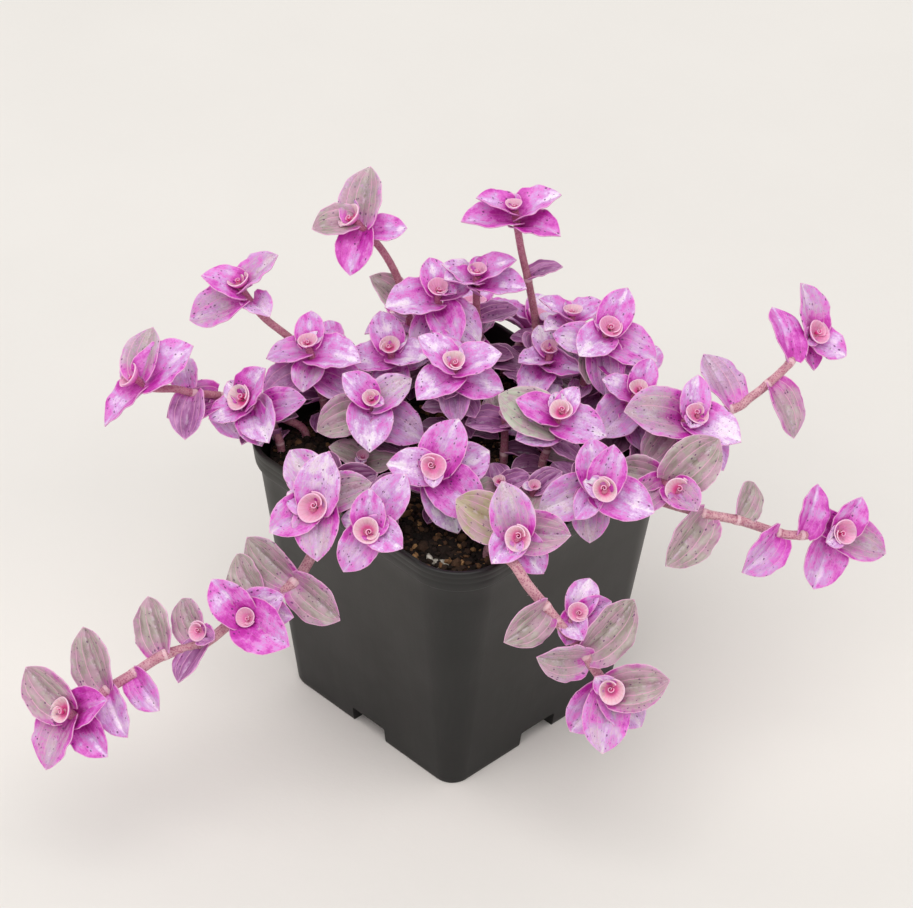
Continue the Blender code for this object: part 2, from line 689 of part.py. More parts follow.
def soil_bmesh():
    """The soil block, with a grainy top in relief and sides that follow the pot."""
    draw = random.Random(SEED + 1)
    bm = bmesh.new()
    bmesh.ops.create_grid(bm, x_segments=SOIL_CELLS, y_segments=SOIL_CELLS, size=1.0)
    rim = [edge for edge in bm.edges if edge.is_boundary]
    half = inner_width(SOIL_TOP) / 2 - 2 * GAP
    for vert in bm.verts:
        relief = SOIL_RELIEF * (0.4 if vert.is_boundary else 1.0)
        x, y = round_corner(vert.co.x * half, vert.co.y * half, half, pot_corner(SOIL_TOP))
        vert.co = Vector((x, y, SOIL_TOP + relief * draw.uniform(-1, 1)))
    for z in (POT_HEIGHT - BAND_HEIGHT - 2 * POT_WALL, POT_FLOOR + GAP):
        below = bmesh.ops.extrude_edge_only(bm, edges=rim)["geom"]
        half_here = inner_width(z) / 2 - GAP
        for vert in [item for item in below if isinstance(item, bmesh.types.BMVert)]:
            scale = half_here / half
            vert.co = Vector((vert.co.x * scale, vert.co.y * scale, z))
        half = half_here
        rim = [item for item in below if isinstance(item, bmesh.types.BMEdge) and item.is_boundary]
    bmesh.ops.holes_fill(bm, edges=rim, sides=0)
    bmesh.ops.triangulate(bm, faces=bm.faces)
    bmesh.ops.recalc_face_normals(bm, faces=bm.faces)
    return bm


def build_soil(collection, material, shoots):
    """The soil with a plain hole for each stem."""
    soil = solid("soil", soil_bmesh(), collection, material)
    cutters = new_collection("soil_cutters")
    depth = STEM_DEPTH + GAP + HOLE_ABOVE
    for shoot in shoots:
        bm = bmesh.new()
        bmesh.ops.create_cone(bm, cap_ends=True, segments=HOLE_SIDES, radius1=HOLE_RADIUS,
                              radius2=HOLE_RADIUS, depth=depth)
        middle = Vector((shoot.line[0].x, shoot.line[0].y, SOIL_TOP + HOLE_ABOVE - depth / 2))
        bmesh.ops.translate(bm, vec=middle, verts=bm.verts)
        solid("stem_hole_cutter", bm, cutters)
    boolean(soil, cutters, "DIFFERENCE")
    return soil


def build_shoot(shoot, collection, material):
    """A shoot's stem, cups and blades fused into one solid."""
    for nudge, solver in FUSE_TRIES:
        stem = solid(shoot.name, stem_bmesh(shoot.line), collection, material)
        growth = new_collection("growth")
        for line in shoot.branches:
            solid("branch", stem_bmesh(line, BRANCH_RADIUS), growth)
        for cup in shoot.cups:
            solid("cup", cup_bmesh(*cup), growth)
        for index, leaf in enumerate(shoot.leaves):
            root = leaf.root + leaf.axis * nudge * index
            solid("blade", leaf_bmesh(replace(leaf, root=root)), growth)
        boolean(stem, growth, "UNION", solver)
        if keep_outer_shell(stem.data):
            return
        bpy.data.objects.remove(stem)
    raise RuntimeError(f"{shoot.name} did not close")


def main():
    """Build the pot, the soil and every shoot."""
    for piece in list(bpy.data.objects):
        bpy.data.objects.remove(piece, do_unlink=True)
    plant = new_collection("potted_turtle_vine")
    pot = build_pot(plant, make_material("pot_plastic", (0.045, 0.045, 0.041), 0.5))
    shoots = plan_shoots()
    soil = build_soil(plant, make_material("soil", (0.06, 0.035, 0.02), 0.95), shoots)
    place_leaves(shoots, {"pot": pot, "soil": soil})
    young = make_material("leaf_pink", (0.72, 0.28, 0.6), 0.5)
    older = make_material("leaf_dusky", (0.5, 0.24, 0.42), 0.55)
    for shoot in shoots:
        build_shoot(shoot, plant, older if shoot.name.startswith("trail") else young)


main()
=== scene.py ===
import math
import random
from dataclasses import dataclass, replace

import bmesh
import bpy
import numpy as np
from mathutils import Matrix, Vector
from mathutils.bvhtree import BVHTree


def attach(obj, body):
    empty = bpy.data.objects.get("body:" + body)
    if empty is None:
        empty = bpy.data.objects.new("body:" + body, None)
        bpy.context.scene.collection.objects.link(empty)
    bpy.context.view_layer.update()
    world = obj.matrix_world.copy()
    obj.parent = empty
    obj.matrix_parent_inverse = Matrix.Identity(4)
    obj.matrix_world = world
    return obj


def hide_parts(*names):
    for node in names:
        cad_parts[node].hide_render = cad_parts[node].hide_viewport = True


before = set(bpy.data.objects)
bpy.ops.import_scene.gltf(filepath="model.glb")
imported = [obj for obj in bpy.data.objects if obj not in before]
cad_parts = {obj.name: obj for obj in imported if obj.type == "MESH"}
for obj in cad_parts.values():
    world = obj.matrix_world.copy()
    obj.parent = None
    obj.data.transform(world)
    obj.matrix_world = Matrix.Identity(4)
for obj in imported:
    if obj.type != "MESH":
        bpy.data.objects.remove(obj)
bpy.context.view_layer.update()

MM = 0.001
GAP = 0.3  # clear space between pieces that touch
MERGE = 1e-3  # vertices nearer than this are one
UP = Vector((0, 0, 1))

# Pot: a thin tapered shell with rounded corners and a stepped band round its rim
POT_HEIGHT = 67.0
POT_TOP_WIDTH = 70.0  # outside the band
POT_BASE_WIDTH = 51.0
POT_WALL = 1.2
POT_FLOOR = 1.5
BAND_HEIGHT = 5.5
BAND_STEP = 0.9
TOP_CORNER = 11.5
BASE_CORNER = 4.5
POT_CORNER_STEPS = 20
POT_SIDE_STEPS = 6
SLOT_WIDTH = 10.0
SLOT_HEIGHT = 4.0
SLOT_DEPTH = 7.0
SLOT_ROUND = 0.5  # of a slot's upper edges
POT_SHARP = math.radians(32)  # edges that bend more than this look sharp

# Soil and its granules
SOIL_TOP = 63.0
SOIL_MESH_CELLS = 90
SOIL_SWELL = 0.9  # height of the soft humps
SOIL_GRAIN = 0.35  # height of the fine grain
SOIL_DIP = 0.4  # how far the humps' middle lies under the solid's top
HUMPS = 120
HUMP_WIDTH = (2, 6)
PEAT_TONE = (0.0, 0.35)
GRANULES = 3800
GRANULE_SIZE = (0.35, 0.85)  # radius
BIG_GRANULE_SIZE = (0.95, 1.35)
BIG_GRANULES = 0.1  # share of them
GRANULE_STRETCH = (0.75, 1.3)
GRANULE_FLATNESS = (0.5, 0.95)
GRANULE_TURN = (0, 6.28)
GRANULE_TILT = (-0.6, 0.6)
GRANULE_RISE = (0.0, 0.45)  # of its middle over the soil, of its radius
GRANULE_DENTS = (0.8, 1.15)  # of its radius
GRANULE_CLEAR = 1.1  # of the pot's wall
FLAKE_SIZE = (0.7, 1.1)  # radius
FLAKE_LENGTH = 1.7  # of its radius
FLAKE_THICKNESS = 0.5
PALE_FLAKES = ((20.2, -28.3), (21.6, -28.2), (22.8, -27.9), (23.7, -28.4), (23.2, -27.0))

# Stems
STEM_RADIUS = 1.1
BRANCH_RADIUS = 0.9
FINE_RADII = {"trail_front_left": 1.2, "trail_front": 1.18, "trail_front_right": 1.08, "trail_right": 1.0}
FINE_RADIUS = 0.9  # of the other fine stems
STEM_DEPTH = 8.0  # how far a stem stands in the soil
STEM_RISE = 1.2  # straight part of a stem above the soil
BEND_STEP = 10.0  # spacing of a standing stem's points
BRANCH_STEP = 4.0
BOW = 1.5  # how far a stem keeps its first direction
STEM_STEP = 0.55  # spacing of the fine stem's rings
STEM_SIDES = 4  # resolution of the round section
COLLAR_SWELL = 0.14  # how much thicker a stem is at a leaf, of its radius
COLLAR_REACH = 0.4
FAR_LEAF = 9.0  # distance taken where a stem has no leaf that gives it a collar
STEM_TAPER = 0.12  # share of the radius lost up to the tip
FINE_STEM_END = 0.7  # how far a fine stem goes on past the solid's, to meet the bowl
HAIR_LENGTH = (0.35, 0.75)
HAIR_RADIUS = 0.028
HAIR_SEAT = 0.97  # where a hair's foot is, of the stem's radius
HAIR_SHIFT = (-0.3, 0.3)
HAIR_TILT = (-0.35, 0.35)
HAIRS_PER_STEP = 1.7
PLANT_SHARP = math.radians(50)

# Cups: the rolled young leaves at a tip
CUP_RADIUS = 2.5
CUP_FOOT_RADIUS = 0.9
CUP_HEIGHT = 4.2
CUP_SIDES = 6
CUP_LIP = 0.6
CUP_DIMPLE = 0.6  # depth of the solid cup's hollow, of its height
CUP_SEAT = 1.4  # from a cup's centre down to the end of the stem inside it
SIDE_CUP_SIZE = 0.9
CUP_AROUND = 44
CUP_ROWS = 9
CUP_TURNS = 1.22
CUP_OPEN = 2.7  # radius of the rolled leaf at its rim
CUP_THICKNESS = 0.26
CUP_TALL = 2.1
CUP_FOOT_RISE = 1.2  # of the bowl over the foot of the solid cup
BOWL_FOOT = 0.2  # radius of the bowl's foot, of its rim's
BOWL_SPREAD = 0.55  # how soon the bowl widens above its foot
BOWL_SHIFT = 0.3  # how far its foot is off its middle
ROLL_SPREAD = 0.16  # how much wider the outer turn of the roll is
ROLL_EDGE = 0.16  # share of the leaf that turns inwards at its one edge
ROLL_IN = 0.3  # how far that edge turns in, of the radius
ROLL_DIP = 0.3  # how much lower it ends
RIM_WAVE = 0.04  # of the radius
RIM_LOBES = (2, 3)
ROLL_START = (0, 6)
POINT_PLACE = (0.45, 0.7)  # of the leaf's point, on the way round
POINT_WIDTH = 0.09
POINT_RISE = 0.3
POINT_LEAN = 0.06
BUD_OPEN = 0.8
BUD_HEIGHT = 1.5
BUD_TURNS = 1.3
BUD_SEAT = 0.15  # over the foot of the bowl
BUD_LEAN = (0.2, 0.5)
BUD_THICKNESS = 0.16
SIDE_CUP_SHARE = 0.85  # size of a side rosette's fine cup
# Sizes of the other fine cups, where they differ
CUP_SHARES = {"shoot_rim_front_left": 1.15, "shoot_left_rim": 1.05, "shoot_front_right": 0.95,
              "shoot_right_rim": 0.92, "shoot_inner_right": 0.9, "shoot_back_right": 0.9,
              "shoot_far_left": 0.88, "shoot_centre": 0.86, "shoot_mid_back": 0.82, "shoot_back": 0.82,
              "shoot_back_mid": 0.76, "shoot_right": 0.76, "shoot_back_stack": 0.74, "shoot_left": 0.74,
              "shoot_mid_right": 0.72, "shoot_mid_left": 0.72, "shoot_tall_right": 0.65,
              "shoot_low_mid": 0.5, "shoot_low_left": 0.5, "shoot_low_right": 0.5, "shoot_low_front": 0.5}
PUSHED_CUPS = {"trail_front": 3.0}  # how far a side rosette's cup stands out in front of its blades

# Blades of the solids
LEAF_THICKNESS = 0.62
LEAF_WIDTH = 0.78  # of its length
WIDTH_SPREAD = (0.94, 1.06)
LEAF_LIFT = 0.36  # rise of a rosette blade's edges, of its half width
OLD_LEAF_LIFT = 0.3
BASE_LIFT = 1.2  # how much more the edges rise at the base
SOLID_BASE = 0.015  # where the outline's curve starts
SOLID_SKEW = 0.72
SOLID_FULL = 0.75
SOLID_TAPER = 0.3
CURL = (0.3, 0.8)  # turn in radians from base to tip
ROOT_OFFSET = 0.6  # a blade starts this far off its stem's centre line
NODE_SPREAD = (-0.4, 0.4)  # how far a trail's blades stand from their node along the stem
FULL_LENGTH = 10.1  # shorter blades get one row of facets less
FULL_ROWS = (0.25, 0.66, 1.0)
SHORT_ROWS = (0.5, 1.0)
TO_LIGHT = 0.15  # how far a blade turns to the light
MORE_TO_LIGHT = 0.6  # of a trail's single blades and of those whose turn is listed
LIGHT = Vector((0.42, -0.42, 0.80)).normalized()  # side that the blades turn to
BACK = Vector((-1.0, 1.0, 0.0)).normalized()  # clock angle 0 round a rosette

# Fine blades
BLADE_COLUMNS = 24
BLADE_ROWS = 15
BLADE_BASE = 0.03  # where the outline's curve starts, which leaves the base some width
FULLNESS = 1.02  # width over the solid blade's
BLADE_MIDDLE = 0.44  # thickness at the midrib
BLADE_RIM = 0.2
VEINS = 3  # on each side of the midrib, the margin being the last
QUILTING = (0.1, 0.17)  # rise between the veins of a fresh and of an old blade
CUPPED = 1.2  # lift of the edges over the solid blade's
CREASE = 0.38
CREASE_WIDTH = 0.1
MARGIN_WAVE = 0.065
RAGGED = 0.012  # how uneven the outline is
CRINKLE = 0.009  # of its length
HEART = 0.55  # how far the base's lobes reach back round the stem
RIM_FLATTEN = 0.12
OUTLINE_SKEW = 0.8  # below 1, a blade is widest nearer its base
OUTLINE_FULL = 0.45  # lower is fuller
OUTLINE_POINT = 0.4  # how much sharper the tip is
ROUND_OUTLINE = 0.5  # of a young blade
UNEVEN = (-0.05, 0.05)  # difference between the halves
RAGS = (4, 6)  # waves in the outline
RAG_SHIFT = (1, 5)
TIP_RISE = (-0.07, 0.05)  # of its length
SWAY = (-0.07, 0.07)  # of its length, at the tip
TWIST = (-0.22, 0.22)  # radians from base to tip
UNTWISTED = 0.25  # share of its length where the twist is nil
WAVES = (1.8, 3.4)  # along the margin
WAVE_SHIFT = (1.0, 2.5)  # between the halves
LOBE_REACH = 0.28  # of its length
QUILTED_LENGTH = 11.0  # length of the blade that the quilting is given for

# How blades stand round a stem, angles in degrees
FIRST_PITCH = 60.0  # of the blade next to the cup
PITCH_STEP = 7.0
FLAT_PITCH = 92.0
YOUNG_LENGTH = 7.0  # blades shorter than this are young and stand up closer
YOUNG_PITCH = 48.0
OPEN_PITCH = 46.0  # least pitch of a fine rosette blade, so that it does not hide its cup
OLD_PITCH = (82.0, 98.0)
BLADE_STEP = 1.1  # along the stem from one rosette blade to the next
SIDE_STEP_SHARE = 0.7  # of that step, in a side rosette
ROSETTE_REACH = 0.8  # share of a stem that its rosette may take
OLD_BLADE_STEP = 5.5
OLD_STEP_SPREAD = (0.85, 1.15)
OLD_LENGTH = (9.5, 11.5)
BARE_ABOVE_SOIL = 3.5
DIVERGENCE = 140.0
OLD_TURN_SPREAD = (0.9, 1.2)
FILL_TURN_SPREAD = (0.8, 1.2)
SEED = 11

# Rows of each standing shoot: name, root on the soil (x, y), centre of its cup (x, y, z),
# way it faces (heading, tilt from upright), and its rosette from the cup outwards (clock, length)
SHOOTS = (
    ("shoot_tall_left", (-24, 9), (-35, 0.5, 106), (240, 40),
     ((300, 10), (70, 13.5), (190, 12), (110, 8))),
    ("shoot_tall_right", (-6, 29), (-13, 27, 108), (225, 6),
     ((265, 9), (80, 10.5), (240, 12), (135, 11))),
    ("shoot_far_left", (-28, -11), (-45, -22.5, 95), (225, 18),
     ((80, 11), (300, 10), (240, 13.5), (150, 8))),
    ("shoot_left_rim", (-27, -27), (-33.5, -32.5, 76), (265, 45),
     ((75, 10), (260, 9), (205, 10), (165, 12), (100, 10))),
    ("shoot_left", (-26, -14.5), (-30.5, -16, 84), (300, 12),
     ((0, 8), (285, 9), (110, 11.5), (190, 10.5), (40, 10), (240, 12), (140, 12))),
    ("shoot_mid_left", (-13, -13), (-11, -16, 80), (315, 25),
     ((305, 8.5), (60, 10), (180, 12), (250, 12), (120, 12), (10, 9))),
    ("shoot_mid_back", (-19, -1), (-20.5, -1.5, 81), (300, 18),
     ((350, 9), (115, 9.5), (245, 10), (180, 10), (60, 10))),
    ("shoot_back", (-17, 9), (-18, 10, 92), (315, 15),
     ((340, 8), (60, 10), (250, 12.5), (160, 11), (120, 11), (210, 11))),
    ("shoot_back_stack", (-13, 18), (-14, 17.5, 95), (0, 3),
     ((80, 9), (235, 9), (110, 11), (270, 10))),
    ("shoot_centre", (-2, 0), (-1, -1.5, 88), (315, 20),
     ((295, 10), (75, 10.5), (220, 11), (130, 12), (350, 10), (180, 9))),
    ("shoot_rim_front_left", (-6, -27), (1, -43.5, 73), (300, 48),
     ((30, 13), (265, 11.5), (190, 12.5), (95, 11), (335, 12))),
    ("shoot_low_front_left", (5, -26), (13, -39.5, 72), (310, 50),
     ((5, 9), (115, 9), (200, 11), (270, 9), (40, 11))),
    ("shoot_front", (11, -16), (12.5, -20.5, 78), (315, 42),
     ((175, 5.5), (265, 10), (355, 12), (110, 13), (180, 13.5), (55, 12), (300, 10))),
    ("shoot_back_right", (9, 25), (12.5, 31, 88), (335, 30),
     ((15, 10), (220, 10.5), (105, 12), (170, 11.5), (275, 10), (125, 13))),
    ("shoot_back_mid", (0, 28), (1.5, 31, 86), (100, 10),
     ((275, 8), (55, 9), (225, 11), (150, 10), (340, 10))),
    ("shoot_mid_right", (2, 20), (2, 24, 80), (300, 8),
     ((340, 7), (245, 8), (125, 9), (185, 10), (60, 9))),
    ("shoot_inner_right", (17, 7), (20.5, 8.5, 82), (315, 22),
     ((40, 7), (285, 9.5), (115, 12.5), (220, 11), (165, 8))),
    ("shoot_right", (21, 24), (24.5, 28, 80), (335, 22),
     ((20, 8), (290, 8), (95, 9), (210, 12), (150, 10), (50, 10))),
    ("shoot_right_rim", (28, 27), (37, 32.5, 78), (345, 28),
     ((350, 9), (85, 12), (255, 15), (130, 13), (195, 11))),
    ("shoot_rim_front_right", (25, 17.5), (47, 17, 72), (320, 45),
     ((180, 5), (140, 10), (45, 14), (225, 10), (280, 10))),
    ("shoot_front_right", (28, 5), (40, 2, 76), (320, 42),
     ((5, 10), (320, 10.5), (215, 8), (120, 13), (240, 12), (175, 11))),
    ("shoot_rim_front", (27, -13), (36.5, -19.5, 73), (315, 50),
     ((190, 5), (345, 12), (215, 10), (145, 10), (85, 12), (270, 13))),
    ("shoot_low_left", (-9, -20), (-9, -20, 68), (315, 15), ((280, 8), (100, 8), (0, 7))),
    ("shoot_low_right", (19, -6), (18, -6.5, 70), (315, 10), ((90, 7), (230, 8), (330, 8))),
    ("shoot_low_front", (24, -3), (25, -3, 71), (330, 15), ((60, 7), (190, 8), (300, 8))),
    ("shoot_low_mid", (9, 4), (8, 5, 76), (315, 15), ((90, 12), (250, 9), (340, 9))),
    ("shoot_low_inner", (10, 14), (9, 14, 72), (315, 10), ((20, 9), (130, 9), (250, 9))),
    ("shoot_low_back", (-26, 27), (-27, 30, 73), (130, 20),
     ((0, 10), (120, 10), (240, 10), (60, 11), (300, 11))),
    ("shoot_low_back_left", (-29, 16), (-34, 15, 74), (170, 25),
     ((0, 10), (130, 10), (230, 10), (310, 11))),
    ("shoot_low_back_right", (-14, 27), (-13, 36, 74), (95, 25),
     ((20, 10), (270, 10), (320, 11), (70, 11))),
    ("shoot_low_side", (-29, -3), (-36, -5, 73), (200, 25), ((0, 10), (290, 10), (240, 11), (330, 10))),
    ("shoot_low_corner", (12, 27), (14, 38.5, 75), (80, 30), ((0, 10), (60, 10), (300, 10), (100, 11))),
)

# Trailing shoots. route runs from the soil to the cup. leaves are (route point, heading, rise, length).
# buds are side rosettes: (route point, centre of the cup, facing, rosette).
TRAILS = (
    dict(
        name="trail_front_left",
        route=((-2, -24), (-1, -29, 68.6), (1, -37, 68.6), (1.5, -42.5, 63), (1, -48.5, 56), (-2, -55, 52),
               (-3.5, -62, 50), (-5, -68.5, 47), (-9.5, -75.5, 45), (-12, -81.5, 42), (-13.5, -88, 40),
               (-15.5, -98, 39)),
        facing=(262, 52),
        rosette=((350, 13), (235, 12.5), (130, 11), (170, 11)),
        leaves=((4, -175, 25, 13.5), (4, 5, -10, 13), (5, 160, 25, 12), (5, 5, 15, 9), (7, 160, 25, 11),
                (7, -75, -25, 10), (8, 155, 35, 12.5), (9, -10, -15, 10), (10, 165, 40, 13.5),
                (10, -20, -25, 11)),
        buds=((6, (1, -62, 54), (290, 50), ((345, 11), (125, 14), (185, 9), (80, 11))),
              (7, (-5, -70, 51), (290, 50), ((130, 6),))),
    ),
    dict(
        name="trail_front",
        route=((28, -19), (33, -22, 68.8), (38, -22, 68.8), (42, -21.5, 65), (45.5, -20, 61),
               (50.5, -18.5, 56), (54, -16.5, 51), (61, -15.5, 45)),
        facing=(320, 55),
        rosette=((310, 6), (75, 13), (180, 13), (235, 13), (130, 11)),
        leaves=((4, -90, -15, 12), (6, 120, 20, 13), (6, -105, 20, 12)),
        buds=((5, (49, -14, 58), (320, 50), ((200, 6), (50, 11), (290, 8), (80, 11))),),
    ),
    dict(
        name="trail_front_right",
        route=((27, 12), (32, 13, 69), (42, 15, 68), (51, 21, 66), (55, 27.5, 63), (60.5, 34.5, 59),
               (63.5, 38.5, 58), (68, 46.5, 57)),
        facing=(350, 55),
        rosette=((350, 9), (290, 9), (80, 12), (165, 12)),
        leaves=((3, -85, -25, 14), (4, 115, 15, 10), (5, -85, -15, 12.5), (6, 130, 30, 11)),
        buds=(),
    ),
    dict(
        name="trail_right",
        route=((22, 27), (30, 36, 71.5), (37.5, 43.5, 74), (39, 47, 76), (40, 51, 78), (40.5, 57.5, 81),
               (39, 67, 83)),
        facing=(10, 45),
        rosette=((300, 12), (100, 9), (150, 10)),
        leaves=((2, 170, 30, 13), (4, 0, -45, 12.5), (5, 155, 35, 12.5)),
        buds=(),
    ),
    dict(
        name="trail_left",
        route=((-27, -20), (-31, -24, 68), (-37, -29.5, 71), (-39, -33.5, 74), (-40.5, -39.5, 77),
               (-42, -43, 79), (-48.5, -49.5, 82)),
        facing=(235, 50),
        rosette=((70, 12), (130, 12), (225, 12)),
        leaves=((3, -5, -45, 10), (3, -120, -15, 12), (4, -55, -25, 11), (4, 150, 10, 9)),
        buds=(),
    ),
)

# Stems that are nearly bare: each older blade's distance down the stem, clock angle and length
SPARSE_STEMS = {
    "shoot_tall_left": ((25, 290, 10),),
    "shoot_tall_right": ((17, 80, 7.5), (38, 250, 9)),
    "shoot_far_left": ((30, 80, 9),),
    "shoot_back_stack": ((12, 70, 9), (17, 250, 10), (22, 100, 10)),
}

# Small blades that the solids leave out
PETAL = -2  # rank of a round young blade that hugs a cup
PETAL_SEAT = 0.2  # over the foot of the cup
PETAL_NEAR = 4.5  # how near a blade has to be for a petal to keep clear of it
PETAL_RANKS = 4  # first blades of a rosette that it keeps clear of
PETAL_LENGTH = (4.6, 5.6)
PETAL_WIDTH = 0.9  # of its length
PETAL_PITCH = (52, 64)
PETAL_LIFT = 0.4
PETAL_CLOCKS = 24  # directions that a petal tries
PETAL_TURN = (-5, 5)
FILL_LENGTH = (5.5, 8.5)
FILL_START = 2.0  # below the cup
FILL_STEP = 2.3
FILL_ABOVE_SOIL = 1.6
FILL_BELOW = 80.0  # height up to which the nearly bare stems are filled too

# Other pitches, turns and sizes that a crossing blade tries, and what each costs
PITCH_TRIES = (0, -8, 8, -16, 16, -26, -38)
TURN_TRIES = (0, -12, 12, -24, 24)
SIZE_TRIES = (1.0, 0.9, 0.8, 0.68)
PITCH_COST = 1 / 8
TURN_COST = 1 / 12
SIZE_COST = 12.0
BLADE_CLEAR_FROM = 0.2  # of its length, where a blade parts from the others on its stem

# Ages of blades, 0 being fresh and 1 old: of a rosette's blades from the cup outwards, and of the others
ROSETTE_AGE = (0.0, 0.05, 0.12, 0.2, 0.3, 0.4, 0.45)
LOWER_AGE = (0.5, 0.95)
DEEP_AGE_AND_SHADE = (1.1, 1.7)  # of blades low in the pot, which are old and dusky, and darkened with painted shade
DEEP_SHADE_BELOW = 72.0
AGE_SPREAD = 0.1

# What a blade turns to with age: -2 pale green, -1 yellow, 0 sage and 1 purple, and over 1 it is deeper
# when fresh too
DUSK_LEAN = 0.28  # below 1, more blades turn purple than sage

OLDER_MARK = 20  # place of the first of a standing shoot's older blades

# Blades whose colour shows in the photograph: place among the blades of its shoot, age, and what it turns to
SEEN_AGES = {
    "shoot_tall_left": {0: (0.85, 0), 1: (0.72, 0), 2: (0.05, 1.6), 3: (0.05, 1), 20: (1.0, 0)},
    "shoot_tall_right": {0: (0.0, 1.6), 1: (0.0, 1.6), 2: (0.1, 1.6), 3: (0.0, 1.6)},
    "shoot_mid_left": {0: (0.0, 1), 1: (0.35, 0), 2: (0.0, 1), 3: (0.85, 0), 4: (0.4, 1)},
    "shoot_left": {0: (0.1, 0), 1: (0.35, 1), 2: (0.1, 1), 3: (0.4, 0), 5: (0.5, 1), 6: (0.4, 1)},
    "shoot_centre": {0: (0.1, 0), 1: (0.15, 0), 2: (0.1, 1), 3: (0.15, 1), 5: (0.5, 1)},
    "shoot_inner_right": {0: (0.0, 1), 1: (0.1, 1.3), 2: (0.15, 1), 3: (1.1, -2), 4: (0.1, 1)},
    "shoot_front": {1: (0.0, 1), 2: (0.15, 0), 3: (0.0, 1), 4: (0.15, 1), 5: (0.2, 1), 6: (0.1, 1)},
    "shoot_front_right": {0: (0.1, 0), 1: (0.1, 0), 2: (0.0, 1), 3: (0.0, 1), 4: (0.45, 0), 5: (0.5, 0)},
    "shoot_low_left": {0: (0.95, 0), 1: (0.95, 0), 2: (0.95, 0)},
    "shoot_low_mid": {0: (0.8, 0), 1: (0.8, 1), 2: (1.0, 0)},
    "shoot_low_right": {0: (1.1, 1), 1: (1.0, 0), 2: (1.1, 1)},
    "shoot_low_front": {0: (1.0, 1), 1: (1.0, 0), 2: (1.1, 1)},
    "shoot_rim_front": {1: (0.45, 0), 2: (0.0, 1), 3: (0.0, 1), 4: (0.5, 0), 5: (0.95, -0.7)},
    "shoot_rim_front_right": {0: (0.3, 1), 1: (0.5, 0), 2: (0.9, 0), 3: (0.6, 0), 4: (0.75, 0)},
    "shoot_rim_front_left": {0: (0.22, 0), 1: (0.28, 0), 2: (0.4, 0), 3: (0.5, 0), 4: (0.35, 0)},
    "shoot_low_front_left": {0: (0.0, 1), 1: (0.05, 1), 2: (0.35, 1), 3: (0.0, 1), 4: (0.25, 1)},
    "shoot_right_rim": {1: (0.2, 1), 2: (0.45, 0), 3: (0.2, 1), 4: (0.75, 0)},
    "shoot_right": {2: (0.3, 1), 3: (0.35, 1), 4: (0.6, 1)},
    "shoot_back_right": {0: (0.1, 0), 1: (0.05, 1), 2: (0.3, 1), 3: (0.5, 1), 4: (0.2, 1), 5: (0.6, 1)},
    "shoot_far_left": {0: (0.45, 0), 1: (0.1, 1.6), 2: (0.45, 0)},
    "trail_front": {0: (0.1, 1), 1: (0.75, 0), 2: (0.25, 0), 3: (0.2, 1), 4: (0.35, 1), 5: (0.9, 0),
                    6: (0.9, 0), 7: (0.6, 0), 8: (0.2, 1), 9: (0.2, 1), 10: (0.0, 1), 11: (0.4, 1)},
    "trail_front_left": {0: (0.75, 0), 1: (0.5, 0), 2: (0.05, 1.6), 3: (0.1, 1.6), 4: (0.85, 0), 5: (0.7, 0),
                         6: (0.85, 0), 7: (0.25, 1), 8: (0.75, 0), 9: (0.75, 1), 10: (0.85, 0),
                         11: (0.4, 1), 12: (0.75, 0), 13: (0.3, 1), 14: (0.05, 1.4), 15: (0.1, 1.6),
                         16: (0.1, 1.5), 17: (0.2, 1.3), 18: (0.6, 1)},
    "trail_front_right": {0: (0.1, 1.4), 1: (0.1, 1.6), 2: (0.5, 0), 3: (0.2, 1.4), 4: (0.9, 0), 5: (0.9, 0),
                          6: (0.45, 1), 7: (0.15, 1.6)},
    "trail_right": {0: (0.3, 0), 1: (0.15, 1.3), 2: (0.2, 1.6), 3: (0.6, 0.5), 4: (0.7, 0), 5: (0.1, 1.8)},
    "trail_left": {0: (0.65, 0), 1: (0.15, 1.5), 2: (0.1, 1.3), 3: (0.4, 1), 4: (0.7, 1), 5: (0.75, 1),
                   6: (0.4, 1)},
}

# Blades that lie otherwise in the photograph: place among the blades of its shoot, heading, rise and size
SEEN_WAYS = {
    "trail_front": {6: (76, 34, 1.15), 8: (300, -20, 1.2), 9: (118, 30, 0.82), 10: (340, 0, 0.95),
                    11: (74, 12, 0.85)},
    "trail_left": {0: (126, 40, 0.95), 1: (60, 33, 1.1)},
    "shoot_tall_left": {0: (235, -5, 0.95), 1: (128, 48, 0.93), 2: (300, -35, 0.85), 3: (45, 8, 1.05),
                        20: (215, 42, 1.05)},
    "shoot_far_left": {1: (222, 28, 1.0), 2: (232, -25, 0.97)},
    "shoot_inner_right": {2: (22, 2, 0.88), 3: (208, 26, 1.24), 4: (255, 5, 1.2)},
    "shoot_centre": {3: (30, -5, 0.85)},
}

# Camera, fitted to the pot's corners in the photograph
CAMERA_ELEVATION = 38.374
CAMERA_DISTANCE = 1.0114  # metres
CAMERA_ROLL = 1.59
CAMERA_TARGET = Vector((-0.000856, 0.0, 0.063147))  # metres, X to the camera's right
FOCAL_PIXELS = 4769.7
PICTURE_WIDTH = 913
SENSOR = 36.0

# Light, lengths in metres
KEY_PLACE = (-0.15, -0.55, 1.45)  # X to the camera's right
KEY_AIM = Vector((0, 0, 0.06))
KEY_SIZE = 1.3
KEY_WATTS = 9.9
KEY_TINT = (1.0, 0.983, 0.962)
ROOM_TINT = (1.0, 0.99, 0.973, 1.0)
ROOM_LIGHT = 0.83
FLOOR_HALF = 3000.0  # millimetres

